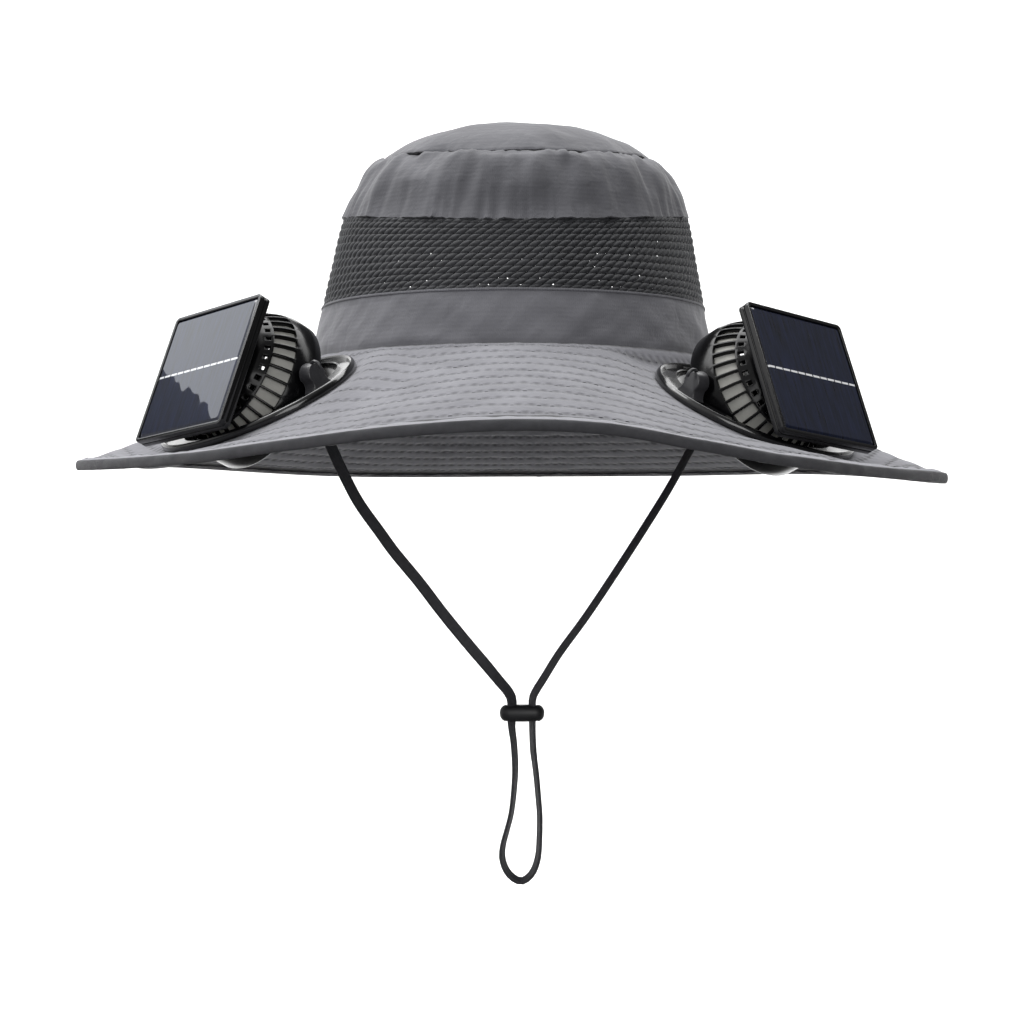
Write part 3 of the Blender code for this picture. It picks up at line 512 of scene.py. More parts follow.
def quiltedCloth():
    # The brim's woven polyester, drawn in along each row of stitches: the UV map runs round the
    # brim and out from the crown, so the needle's dimples follow the rows.
    material, tree, shader = newMaterial("quiltedPolyester")
    place = addNode(tree, "TexCoord", out="Object")
    uv = addNode(tree, "TexCoord", out="UV")
    u = addNode(tree, "SeparateXYZ", {0: uv}, out="X")
    v = addNode(tree, "SeparateXYZ", {0: uv}, out="Y")
    span = (brim["lastRow"] - brim["firstRow"]) / (brim["stitchRows"] - 1)
    # near is 1 on a row of stitches and 0 a little way from it
    phase = addNode(tree, "Math", {0: v, 1: brim["firstRow"]}, operation="SUBTRACT")
    phase = addNode(tree, "Math", {0: phase, 1: span}, operation="DIVIDE")
    row = addNode(tree, "Math", {0: phase}, operation="ROUND")
    off = addNode(tree, "Math", {0: phase, 1: row}, operation="SUBTRACT")
    off = addNode(tree, "Math", {0: off, 1: 4.6}, operation="MULTIPLY")
    off = addNode(tree, "Math", {0: off, 1: 2.0}, operation="POWER")
    near = addNode(tree, "Math", {0: 1.0, 1: off}, operation="SUBTRACT", use_clamp=True)
    # dimple is 1 where the needle goes in
    count = addNode(tree, "Math", {0: row, 1: stitches["perRow"], 2: stitches["firstCount"]},
                    operation="MULTIPLY_ADD")
    turn = addNode(tree, "Math", {0: u, 1: count}, operation="MULTIPLY")
    turn = addNode(tree, "Math", {0: turn, 1: 2 * math.pi}, operation="MULTIPLY")
    wave = addNode(tree, "Math", {0: turn}, operation="COSINE")
    dimple = addNode(tree, "Math", {0: wave, 1: 0.5, 2: 0.5}, operation="MULTIPLY_ADD")
    dimple = addNode(tree, "Math", {0: dimple, 1: near}, operation="MULTIPLY")
    tone = addNode(tree, "TexNoise", {"Vector": place, "Scale": 60.0, "Detail": 5.0})
    colour = addNode(tree, "ValToRGB", {"Fac": tone}, ramp=((0.3, "66666c"), (0.72, "75757b")))
    # painted shade: the dimples are darkened, and the grooves more and more towards the right, away from
    # the light
    shade = addNode(tree, "Math", {0: dimple, 1: 0.5}, operation="MULTIPLY")
    narrow = addNode(tree, "Math", {0: near, 1: 5.0}, operation="POWER")
    across = addNode(tree, "SeparateXYZ", {0: place}, out="X")
    rightward = addNode(tree, "MapRange", {"Value": across, "From Min": -0.02, "From Max": 0.07,
                                           "To Min": 0.10, "To Max": 0.62},
                        interpolation_type="SMOOTHSTEP")
    groove = addNode(tree, "Math", {0: narrow, 1: rightward}, operation="MULTIPLY")
    shade = addNode(tree, "Math", {0: shade, 1: groove}, operation="MAXIMUM")
    # painted shadow: dark lines along the seams at the crown and at the edge, where shade falls
    for start, end in ((0.016, 0.006), (0.922, 0.934)):     # the seams at the crown and the edge
        seam = addNode(tree, "MapRange", {"Value": v, "From Min": start, "From Max": end,
                                          "To Min": 0.0, "To Max": 0.95},
                       interpolation_type="SMOOTHSTEP")
        shade = addNode(tree, "Math", {0: shade, 1: seam}, operation="MAXIMUM")
    dark = addNode(tree, "Mix", {"Factor": shade, "A": colour, "B": srgb("26262a")}, "Result",
                   data_type="RGBA")
    pull = addNode(tree, "Bump", {"Strength": 0.8, "Distance": 0.0005, "Height": dimple}, invert=True)
    crumple = addNode(tree, "TexNoise", {"Vector": place, "Scale": 230.0, "Detail": 4.0})
    soft = addNode(tree, "Bump", {"Strength": 0.6, "Distance": 0.0007, "Height": crumple,
                                  "Normal": pull})
    thread = addNode(tree, "TexNoise", {"Vector": place, "Scale": 1500.0, "Detail": 1.0})
    fine = addNode(tree, "Bump", {"Strength": 0.3, "Distance": 0.0002, "Height": thread,
                                  "Normal": soft})
    setInputs(tree, shader, {"Base Color": dark, "Normal": fine, "Roughness": 0.85,
                             "Sheen Weight": 0.2, "Sheen Roughness": 0.5})
    return material


def ribbedTape(name, dark, light, ribs, shine, lipHighlight=None):
    # Woven tape: fine ribs across its length, a little glossier than the cloth. Its upper lip, the
    # first third of its width, gets a painted highlight, and a painted shadow line edges the lip.
    material, tree, shader = newMaterial(name)
    uv = addNode(tree, "TexCoord", out="UV")
    place = addNode(tree, "TexCoord", out="Object")
    rib = addNode(tree, "TexWave", {"Vector": uv, "Scale": ribs / 20, "Distortion": 0.0},
                  bands_direction="X")
    tone = addNode(tree, "TexNoise", {"Vector": place, "Scale": 420.0, "Detail": 3.0})
    mixed = addNode(tree, "Mix", {"Factor": 0.4, "A": tone, "B": rib}, "Result")
    shown = addNode(tree, "ValToRGB", {"Fac": mixed}, ramp=((0.3, dark), (0.7, light)))
    if lipHighlight:
        across = addNode(tree, "SeparateXYZ", {0: uv}, out="Y")
        # painted highlight on the lip, then a painted shadow line at the lip's edge
        for start, end, colour in ((0.36, 0.29, lipHighlight), (0.11, 0.06, "2a2a2e")):
            lip = addNode(tree, "MapRange", {"Value": across, "From Min": start, "From Max": end},
                          interpolation_type="SMOOTHSTEP")
            shown = addNode(tree, "Mix", {"Factor": lip, "A": shown, "B": srgb(colour)}, "Result",
                            data_type="RGBA")
    bump = addNode(tree, "Bump", {"Strength": 0.6, "Distance": 0.00022, "Height": mixed})
    setInputs(tree, shader, {"Base Color": shown, "Normal": bump, "Roughness": shine,
                             "Sheen Weight": 0.15, "Sheen Roughness": 0.4})
    return material


def mouldedPlastic(name, colours, roughness, grain, depth, coat=0.0, specular=0.5):
    # ABS out of a mould: the grain is the mould's spark finish, and the tone and roughness vary at
    # random.
    material, tree, shader = newMaterial(name)
    place = addNode(tree, "TexCoord", out="Object")
    tone = addNode(tree, "TexNoise", {"Vector": place, "Scale": 90.0, "Detail": 6.0})
    colour = addNode(tree, "ValToRGB", {"Fac": tone}, ramp=zip((0.35, 0.75), colours))
    rough = addNode(tree, "MapRange", {"Value": tone, "To Min": roughness[0],
                                       "To Max": roughness[1]})
    pits = addNode(tree, "TexNoise", {"Vector": place, "Scale": grain, "Detail": 2.0})
    bump = addNode(tree, "Bump", {"Strength": 0.4, "Distance": depth, "Height": pits})
    setInputs(tree, shader, {"Base Color": colour, "Normal": bump, "Roughness": rough, "IOR": 1.52,
                             "Specular IOR Level": specular, "Coat Weight": coat,
                             "Coat Roughness": 0.04})
    return material


def gauzeCloth():
    # Fine dust gauze inside the fan's windows: pale grey, quite matt.
    material, tree, shader = newMaterial("paleDustGauze")
    place = addNode(tree, "TexCoord", out="Object")
    tone = addNode(tree, "TexNoise", {"Vector": place, "Scale": 120.0, "Detail": 2.0})
    colour = addNode(tree, "ValToRGB", {"Fac": tone}, ramp=((0.3, "9a9a95"), (0.7, "aaa9a4")))
    setInputs(tree, shader, {"Base Color": colour, "Roughness": 0.9})
    return material


def solarGlass():
    # A silicon cell under clear resin: dark blue with faint streaks across the grain, a row of
    # white solder dashes over the middle, and the resin's polish on top.
    material, tree, shader = newMaterial("resinCoatedSiliconCell")
    uv = addNode(tree, "TexCoord", out="UV")
    stretched = addNode(tree, "Mapping", {"Vector": uv, "Scale": (46.0, 3.0, 1.0)})
    streak = addNode(tree, "TexNoise", {"Vector": stretched, "Scale": 1.0, "Detail": 4.0,
                                        "Roughness": 0.6})
    colour = addNode(tree, "ValToRGB", {"Fac": streak}, ramp=((0.3, "0b0e16"), (0.8, "1d2542")))
    middle = addNode(tree, "SeparateXYZ", {0: uv}, out="Y")
    middle = addNode(tree, "Math", {0: middle, 1: 0.5}, operation="SUBTRACT")
    middle = addNode(tree, "Math", {0: middle}, operation="ABSOLUTE")
    bar = addNode(tree, "Math", {0: middle, 1: 0.0085}, operation="LESS_THAN")
    dash = addNode(tree, "SeparateXYZ", {0: uv}, out="X")
    dash = addNode(tree, "Math", {0: dash, 1: 12.0}, operation="MULTIPLY")
    dash = addNode(tree, "Math", {0: dash}, operation="FRACT")
    dash = addNode(tree, "Math", {0: dash, 1: 0.86}, operation="LESS_THAN")
    bar = addNode(tree, "Math", {0: bar, 1: dash}, operation="MULTIPLY")
    mixed = addNode(tree, "Mix", {"Factor": bar, "A": colour, "B": srgb("e9eaec")}, "Result",
                    data_type="RGBA")
    sway = addNode(tree, "TexNoise", {"Vector": uv, "Scale": 3.2, "Detail": 1.0})
    bump = addNode(tree, "Bump", {"Strength": 0.25, "Distance": 0.0004, "Height": sway})
    setInputs(tree, shader, {"Base Color": mixed, "Coat Normal": bump, "Roughness": 0.32, "IOR": 1.5,
                             "Specular IOR Level": 0.1, "Coat Weight": 1.0, "Coat Roughness": 0.015,
                             "Coat IOR": 1.6})
    return material


# Scene: the photograph's camera looks level, from a little below the brim.

camera = {"place": (0.0, -0.83, -0.066), "lens": 66.8, "sensor": 36.0}
deselectAll()
bpy.ops.object.camera_add(location=camera["place"], rotation=(math.pi / 2, 0, 0))
bpy.context.object.data.lens = camera["lens"]
bpy.context.object.data.sensor_width = camera["sensor"]
bpy.context.object.data.clip_start = 0.01
bpy.context.scene.camera = bpy.context.object
print("camera placed")

stitches = {"firstCount": 146.0, "perRow": 9.0, "length": 0.0020, "radius": 0.00018}
materials = {
    # the crown's polyester, dark and matt, and the band's same cloth painted a shade paler, as painted
    # light
    "cloth": wovenCloth("wovenPolyester", "48484d", "56565b"),
    "band": wovenCloth("wovenPolyesterBandPaintedPaler", "5e5e63", "6c6c71"),
    "net": netCloth(),
    "quilt": quiltedCloth(),
    # the brim's tape, dark grey and darkened further as painted shade on its face, with a painted
    # highlight on its lip, then piping, strap and thread, all dull and ribbed
    "tape": ribbedTape("wovenBindingTape", "39393d", "47474b", 40000, 0.75, "8e8e94"),
    "piping": ribbedTape("wovenPiping", "4c4c51", "5e5e63", 5000, 0.75),
    "webbing": ribbedTape("blackWovenRibbon", "232327", "3e3e43", 5600, 0.62),
    "thread": ribbedTape("polyesterThread", "545459", "68686d", 900, 0.6),
    # frames and flanges: deep black ABS with a clear, slightly uneven shine
    "gloss": mouldedPlastic("polishedBlackAbs", ("050506", "0b0b0d"), (0.12, 0.22), 1400.0,
                            0.00002, 0.35),
    # domes: polycarbonate as black as that, with a weaker shine
    "dome": mouldedPlastic("polishedBlackPolycarbonate", ("040405", "09090b"), (0.14, 0.24),
                           1400.0, 0.00002, 0.0, 0.2),
    # small parts: black ABS with a broad, dull shine, and the ears', which is greyer
    "satin": mouldedPlastic("satinBlackAbs", ("151517", "202023"), (0.42, 0.58), 2600.0, 0.00005),
    "ear": mouldedPlastic("semiGlossGreyAbs", ("2a2a2d", "37373a"), (0.30, 0.42), 2600.0,
                          0.00004, 0.2),
    "gauze": gauzeCloth(),
    "cell": solarGlass(),
}
print("materials made")


# The chin strap: a flat woven ribbon on the route of the CAD's cord

def twistAt(share):
    for (start, first), (end, second) in zip(strapTwists, strapTwists[1:]):
        if share <= end:
            along = smoothStep((share - start) / (end - start))
            return math.radians(first + (second - first) * along)
    return math.radians(strapTwists[-1][1])


def makeStrap():
    route, length = smoothRoute([Vector((x, 0.0, z)) for x, z in strapRoute], strap["step"])
    half, skin = strap["width"] / 2, strap["thickness"] / 2
    # the ribbon's section, across it and through it
    section = ((-1, 0), (-0.97, 0.6), (-0.86, 1), (-0.8, 0.78), (0, 0.82), (0.8, 0.78), (0.86, 1),
               (0.97, 0.6), (1, 0), (0.97, -0.6), (0.86, -1), (0.8, -0.78), (0, -0.82),
               (-0.8, -0.78), (-0.86, -1), (-0.97, -0.6))
    outline = [(across * half, through * skin) for across, through in section]
    front = Vector((0, 1, 0))

    def shape(u, v):
        i = round(u * (len(route) - 1))
        ahead = (route[min(i + 1, len(route) - 1)] - route[max(i - 1, 0)]).normalized()
        turn = twistAt(i / (len(route) - 1))
        side = ahead.cross(front).normalized()
        across = side * math.cos(turn) + front * math.sin(turn)
        a, b = outline[round(v * len(outline)) % len(outline)]
        # the hanging loop is drawn a little narrower
        narrow = 0.9 if 0.36 < i / len(route) < 0.62 else 1.0
        return route[i] + across * a * narrow + ahead.cross(across) * b

    piece = wrappedGrid("chinStrapRibbon", len(route) - 1, len(outline), shape)
    bpy.ops.object.mode_set(mode="EDIT")
    bpy.ops.mesh.select_all(action="DESELECT")
    bpy.ops.mesh.select_non_manifold()
    bpy.ops.mesh.edge_face_add()
    tidyMesh(piece)
    dress(piece, materials["webbing"], "hat", "webbing", "chin_strap")
    return piece, route, length


toggle = {"length": 0.0197, "height": 0.0074, "depth": 0.009, "rounding": 0.0035,
          "centre": (0.0044, 0.0, -0.1538), "channels": 0.009, "channelRadius": 0.003}


def makeToggle():
    # a stadium, drawn in step by step at its ends so that its rims are round
    length, depth, rounding = toggle["length"], toggle["depth"], toggle["rounding"]
    deselectAll()
    bpy.ops.mesh.primitive_circle_add(vertices=48, radius=depth / 2, fill_type="NGON",
                                      rotation=(0, 0, math.pi / 48))
    piece = settle(bpy.context.object)
    for vertex in piece.data.vertices:
        vertex.co.x += math.copysign((length - depth) / 2, vertex.co.x)
    turns = [math.pi / 2 * (i / 5 - 1) for i in range(11)]
    rows = [(rounding * (1 - math.cos(turn)) * 0.9,
             math.sin(turn) * rounding + math.copysign(toggle["height"] / 2 - rounding, turn))
            for turn in turns]
    bpy.ops.object.mode_set(mode="EDIT")
    bpy.ops.mesh.select_all(action="SELECT")
    inset, low = rows[0]
    bpy.ops.transform.translate(value=(0, 0, low))
    bpy.ops.transform.resize(value=(1 - 2 * inset / length, 1 - 2 * inset / depth, 1),
                             center_override=(0, 0, 0))
    for nextInset, nextLow in rows[1:]:
        extrudeOn((0, 0, nextLow - low), ((length - 2 * nextInset) / (length - 2 * inset),
                                          (depth - 2 * nextInset) / (depth - 2 * inset)))
        inset, low = nextInset, nextLow
    tidyMesh(piece, 1e-6)
    piece.data.transform(Matrix.Translation(toggle["centre"]))
    for side in (-1, 1):
        bpy.ops.mesh.primitive_cylinder_add(
            vertices=40, radius=toggle["channelRadius"], depth=0.02,
            location=Vector(toggle["centre"]) + Vector((side * toggle["channels"] / 2, 0, 0)))
        cut(piece, settle(bpy.context.object))
    roundEdges(piece, 0.0004, 2, 50)
    named(piece, "strapToggle")
    return dress(piece, materials["satin"], "hat", "matte_black", "cord_toggle", angle=50)


strapPiece, strapPath, strapLength = makeStrap()
togglePiece = makeToggle()
tuple(strapPath[0])
[tuple(p) for p in strapPath]
print("strap and toggle made")


# The crown's four sewn pieces

upper = {"columns": 320, "rows": 44, "height": 0.030, "pucker": 0.0014, "wrinkle": 0.0014}


def gathers(azimuth, away, reach):
    # small puckers that a drawn-in seam leaves, dying out away from it
    strength = math.exp(-away / reach)
    return strength * (ripple(azimuth * 0.42, 3.1, away * 60) + 0.6 * ripple(azimuth * 0.95, 8.7, 0))


def upperShape(u, v):
    azimuth, section = u * 360 - 180, 2 + 3 * v
    fromSeam, fromTip = v * upper["height"], (1 - v) * upper["height"]
    lift = upper["pucker"] * (gathers(azimuth, fromSeam, 0.006)
                              + 0.55 * gathers(azimuth + 71, fromTip, 0.006))
    lift += upper["wrinkle"] * ripple(azimuth * 0.10, v * 1.6 + azimuth * 0.012, 4.0)
    lift += 0.0008 * ripple(azimuth * 0.24, v * 2.2, 9.0)
    lift += 0.0005 * math.exp(-fromSeam / 0.0012)       # the hem stands over the net
    lift -= 0.0004 * math.exp(-fromTip / 0.0008)        # the tip's seam is drawn in
    return crownPoint(azimuth, section, lift, -0.0004 if v == 0 else 0.0)


piece = wrappedGrid("crownUpperCloth", upper["columns"], upper["rows"], upperShape)
wall(piece, crown["cloth"] * 0.8)
dress(piece, materials["cloth"], "hat", "crown_cloth", "crown_upper", angle=70)

top = {"columns": 240, "rows": 40, "reach": 0.060}


def topShape(u, v):
    azimuth, section = u * 360 - 180, 5 + 2.985 * v
    away = v * top["reach"]
    lift = 0.0005 * gathers(azimuth + 20, away, 0.007)
    fade = 1 - v ** 3
    here = crownSurface(azimuth, section)
    lift += fade * 0.0009 * ripple(here.x * 42, here.y * 34, 2.0)
    lift += fade * 0.0005 * ripple(here.x * 90 + here.y * 40, here.y * 70, 5.0)
    lift -= 0.0004 * math.exp(-away / 0.0008)
    return crownPoint(azimuth, section, lift)


piece = wrappedGrid("crownTopCloth", top["columns"], top["rows"], topShape)
# the small ring round the top's middle is closed
selectOnly(piece, "VERT", lambda vertex: math.hypot(
    vertex.co.x - crown["shift"], vertex.co.y) < 0.0012)
bpy.ops.mesh.merge(type="CENTER")
leaveEdit()
wall(piece, crown["cloth"] * 0.8)
dress(piece, materials["cloth"], "hat", "crown_cloth", "crown_top", angle=70)

lower = {"columns": 320, "rows": 24, "radius": 0.093, "height": 0.022, "wrinkle": 0.0008}


def lowerShape(u, v):
    azimuth, section = u * 360 - 180, v
    turn = math.radians(azimuth)
    along, up = lower["radius"] * turn, v * lower["height"]
    wrinkle = ripple((along + up * 1.1) * 55, (up - along * 0.35) * 40, 1.0)
    wrinkle += 0.5 * ripple((along - up * 0.8) * 120, up * 60, 6.0)
    hold = smoothStep(v / 0.12) * smoothStep((1 - v) / 0.1)
    lift = lower["wrinkle"] * wrinkle * hold
    lift += 0.0004 * math.exp(-(1 - v) * lower["height"] / 0.0015)
    hem = math.exp(-up / 0.0012)
    # the hem turns in and down into the brim's inner edge, so no light comes through the seam
    return crownPoint(azimuth, section, lift - 0.0009 * hem, -0.0012 * hem)


piece = wrappedGrid("crownLowerCloth", lower["columns"], lower["rows"], lowerShape)
wall(piece, crown["cloth"] * 0.8)
dress(piece, materials["band"], "hat", "crown_cloth", "crown_lower", angle=70)
print("crown cloth made")

# The net: one small knitted cell, pinholed at its corners, repeated on the slant round the band
net = {"around": 124, "high": 12, "pillow": 0.0009, "slant": 0.74, "thickness": 0.0004}
netLines = (0.0, 0.10, 0.36, 0.64, 0.90, 1.0)


def makeNetCell():
    deselectAll()
    bpy.ops.mesh.primitive_grid_add(x_subdivisions=5, y_subdivisions=5, size=5, location=(0, 0, 0))
    cell = bpy.context.object
    for vertex in cell.data.vertices:
        x, y = netLines[round(vertex.co.x + 2.5)], netLines[round(vertex.co.y + 2.5)]
        height = abs(math.sin(math.pi * x)) ** 0.5 * (0.2 + 0.8 * abs(math.sin(math.pi * y)) ** 0.6)
        vertex.co = (x, y, height)
    # the four corner faces go, and leave the holes
    selectOnly(cell, "FACE", lambda face: abs(face.center.x - 0.5) > 0.4
               and abs(face.center.y - 0.5) > 0.4)
    bpy.ops.mesh.delete(type="FACE")
    leaveEdit()
    return cell


def netPlace(a, b, height):
    # a counts cells round the band and b counts them up it
    azimuth = a / net["around"] * 360 - 180
    v = min(1.0, max(0.0, b / net["high"]))
    edge = math.exp(-min(v, 1 - v) * 18)
    lift = net["pillow"] * height * (1 - edge) - 0.0003
    lift += 0.0005 * ripple(azimuth * 0.11, v * 1.7, 12.0)
    return crownPoint(azimuth, 1 + v, lift)


def makeNet():
    def cellPlace(row, column):
        return lambda point: netPlace(column + point.x + net["slant"] * (row + point.y),
                                      row + point.y, point.z)

    piece = repeated("crownNet", makeNetCell(), [
        cellPlace(row, column) for row in range(net["high"]) for column in range(net["around"])])
    tidyMesh(piece, 2e-5, dissolve=True)
    wall(piece, net["thickness"])
    return dress(piece, materials["net"], "hat", "air_mesh", "crown_mesh", angle=80)


makeNet()

# a thin cord of folded cloth along the net's foot
piping = {"outward": 0.0003, "radius": 0.0005, "columns": 300}


def pipingShape(u, v):
    turn = 2 * math.pi * v
    return crownPoint(u * 360 - 180, 1.0, piping["outward"] + piping["radius"] * math.cos(turn),
                      piping["radius"] * math.sin(turn) * 1.3)


piece = wrappedGrid("netFootPiping", piping["columns"], 8, pipingShape)
dress(piece, materials["piping"], "hat", "crown_cloth")
print("net made")


# The brim: puffed between its rows of stitches, above and below
brimGrid = {"columns": 400, "across": 88}


def puffAt(share):
    gaps = brim["stitchRows"] - 1
    phase = (share - brim["firstRow"]) / (brim["lastRow"] - brim["firstRow"]) * gaps
    if phase < 0 or phase > gaps:
        return 0.0
    return brim["puff"] * abs(math.sin(math.pi * phase)) ** 0.6


def shareAt(v):
    # v goes out over the top, round the edge and back along the underside
    return min(1.0, max(0.0, v * 2.04 if v < 0.5 else (1 - v) * 2.04))


def brimShape(u, v):
    azimuth, share = u * 360 - 180, shareAt(v)
    below = brim["thickness"] * smoothStep((v - 0.49) / 0.02)
    _, flat = brimPoint(azimuth, share)
    puff = puffAt(share) * (1 - flat)
    puff += 0.00035 * ripple(azimuth * 0.35, share * 14, 3.0 if v < 0.5 else 7.0) * (1 - flat)
    inner = -crown["cloth"] * smoothStep((0.012 - share) / 0.012)
    return brimPoint(azimuth, share, below - puff if v < 0.5 else below + puff, inner)[0]


def makeBrim():
    piece = wrappedGrid("brimQuiltedCloth", brimGrid["columns"], brimGrid["across"] * 2, brimShape)
    for loop in piece.data.uv_layers.active.data:
        loop.uv.y = shareAt(loop.uv.y)
    for place in seatPlaces:
        bpy.ops.mesh.primitive_cylinder_add(vertices=96, radius=seatSizes["cut"], depth=0.024)
        cut(piece, settle(bpy.context.object, place))
    return dress(piece, materials["quilt"], "hat", "quilted_cloth", "brim", angle=60)


makeBrim()
print("brim made")


def makeStitch():
    # one stitch is a short thread that dips in at both ends
    deselectAll()
    bpy.ops.mesh.primitive_cylinder_add(vertices=6, radius=1, depth=2, rotation=(0, math.pi / 2, 0))
    stitch = settle(bpy.context.object)
    bpy.ops.object.mode_set(mode="EDIT")
    for x in (0.5, -0.5):
        bpy.ops.mesh.select_all(action="SELECT")
        bpy.ops.mesh.bisect(plane_co=(x, 0, 0), plane_no=(1, 0, 0))
    bpy.ops.object.mode_set(mode="OBJECT")
    radius = stitches["radius"]
    for vertex in stitch.data.vertices:
        size, lift = (1, 0.35) if abs(vertex.co.x) < 0.9 else (0.5, -1.0)
        vertex.co = (vertex.co.x * stitches["length"] / 2, vertex.co.y * radius * size,
                     vertex.co.z * radius * size + radius * lift)
    return stitch


def stitchPlaces(below, up):
    for row in range(brim["stitchRows"]):
        share = (brim["firstRow"]
                 + (brim["lastRow"] - brim["firstRow"]) * row / (brim["stitchRows"] - 1))
        count = int(stitches["firstCount"] + stitches["perRow"] * row)
        for i in range(count):
            azimuth = (i + 0.5) / count * 360 - 180
            middle, flat = brimPoint(azimuth, share, below)
            if flat > 0.98:
                continue
            ahead = (brimPoint(azimuth + 0.4, share, below)[0] - middle).normalized()
            out = (brimPoint(azimuth, share + 0.01, below)[0] - middle).normalized()
            normal = out.cross(ahead).normalized() * up
            if normal.z * up < 0:
                normal = -normal
            side = normal.cross(ahead)
            place = Matrix((ahead, side, normal)).transposed().to_4x4()
            place.translation = middle
            yield lambda point, place=place: place @ point


def makeStitches():
    for name, below, up in (("brimStitchesAbove", 0.0, 1), ("brimStitchesBelow", brim["thickness"], -1)):
        piece = repeated(name, makeStitch(), stitchPlaces(below, up))
        piece.data.uv_layers.new(name="UVMap")
        tidyMesh(piece)
        dress(piece, materials["thread"], "hat", "quilted_cloth", angle=60)


makeStitches()
print("stitches made")

binding = {"columns": 640, "across": 24, "lip": 0.3, "wave": 0.0005, "wall": 0.0005}


def bindingShape(u, v):
    # from the lip on top, round the edge, to the lip underneath
    azimuth = u * 360 - 180
    reach = brim["bindingWall"] + brim["gap"]
    lip = 1 - (brim["bindingWidth"] - brim["bindingWall"] - brim["gap"]) / (
        brim["halfWidth"] - crown["halfWidth"])
    wave = binding["wave"] * ripple(azimuth * 0.55, v * 3, 1.0)
    if v < binding["lip"] or v > 1 - binding["lip"]:
        away = min(v, 1 - v) / binding["lip"]
        rise = reach * (0.75 + 0.25 * math.sin(math.pi * away)) + wave
        return brimPoint(azimuth, lip + (1 - lip) * away,
                         -rise if v < 0.5 else brim["thickness"] + rise)[0]
    middle = brim["thickness"] / 2
    turn = math.pi * (0.5 - (v - binding["lip"]) / (1 - 2 * binding["lip"]))
    return brimPoint(azimuth, 1.0, middle - (middle + reach) * math.sin(turn),
                     (reach + wave) * math.cos(turn) ** 0.7)[0]


piece = wrappedGrid("brimBindingTape", binding["columns"], binding["across"], bindingShape)
wall(piece, binding["wall"])
dress(piece, materials["tape"], "hat", "binding_tape", "brim_binding", angle=70)
print("binding made")

# The fans, each in its own frame: X along the pivot, Y towards the crown, Z towards the panel
fan = {"wall": 0.0018, "windows": 36, "bladeReach": 0.0255, "blades": 7, "spokes": 9,
       "holeRadius": 0.0327}
# the turned rows are (radius, height)
domeRows = (
    (0.0309, -0.0060), (0.0314, -0.0052), (0.0315, -0.0020), (0.0314, 0.0018), (0.0309, 0.0038),
    (0.0303, 0.0058), (0.0296, 0.0077), (0.0287, 0.0097), (0.0276, 0.0118), (0.0264, 0.0138),
    (0.0256, 0.0149), (0.0244, 0.0165), (0.0234, 0.0178), (0.0222, 0.0192), (0.0206, 0.0202),
    (0.0140, 0.0205), (0.0060, 0.0205),
)
motorRows = (
    (0.0075, 0.0190), (0.0075, 0.0056), (0.0070, 0.0050), (0.0028, 0.0050), (0.0026, 0.0046),
    (0.0010, 0.0046), (0.0010, -0.0034),
)
pinRows = ((0.0030, 0.0300), (0.0030, 0.0324), (0.0022, 0.0324), (0.0022, 0.0362), (0.0019, 0.0365))
gauzeRows = (
    (0.0289, 0.0042), (0.0266, 0.0098), (0.0240, 0.0140), (0.0236, 0.0138), (0.0262, 0.0096),
    (0.0285, 0.0040),
)
outerRingRows = ((0.0284, -0.0057), (0.0284, -0.0042), (0.0266, -0.0042), (0.0266, -0.0057))
middleRingRows = ((0.0191, -0.0056), (0.0191, -0.0043), (0.0177, -0.0043), (0.0177, -0.0056))
hubCapRows = (
    (0.0084, -0.0042), (0.0084, -0.0052), (0.0074, -0.0057), (0.0050, -0.0057), (0.0046, -0.0055),
    (0.0010, -0.0055),
)
hubRows = (
    (0.00135, -0.0034), (0.0062, -0.0035), (0.0076, -0.0030), (0.0080, -0.0020), (0.0080, 0.0045),
    (0.0070, 0.0045), (0.0070, 0.0010), (0.00135, 0.0010),
)


def makeHousing(name, body, place):
    columns = fan["windows"] * 5
    piece = turned(f"fanDome_{name}", domeRows, columns, "open")
    # the hole in the back's middle is closed, and then the windows are opened
    selectOnly(piece, "VERT", lambda vertex: math.hypot(vertex.co.x, vertex.co.y) < 0.0062)
    bpy.ops.mesh.edge_face_add()
    tidyMesh(piece)

    def isWindow(face):
        middle = face.center
        step = math.atan2(middle.y, middle.x) / (2 * math.pi) * columns % 5
        return step < 4 and 0.0058 < middle.z < 0.0138 or (
            1 < step < 3 and 0.0149 < middle.z < 0.0165)

    selectOnly(piece, "FACE", isWindow)
    bpy.ops.mesh.delete(type="FACE")
    leaveEdit()
    if sum(f.normal.z * f.area for f in piece.data.polygons if f.center.z > 0.02) < 0:
        piece.data.flip_normals()
    wall(piece, fan["wall"])
    roundEdges(piece, 0.0003, 2, 50)
    parts = [piece, turned("motorCan", motorRows, 32, "caps")]
    for side in (-1, 1):
        pin = turned("pin", pinRows, 20, "caps")
        pin.data.transform(Matrix.Rotation(side * math.pi / 2, 4, "Y"))
        parts.append(pin)
    piece = settle(joinAll(f"fanHousing_{name}", parts), place)
    dress(piece, materials["dome"], body, "gloss_black", f"fan_housing_{name}", angle=35)
    # the grey that shows in the windows is a gauze sleeve just inside them
    gauze = settle(turned(f"fanGauze_{name}", gauzeRows, 72), place)
    dress(gauze, materials["gauze"], body, "matte_black", angle=60)


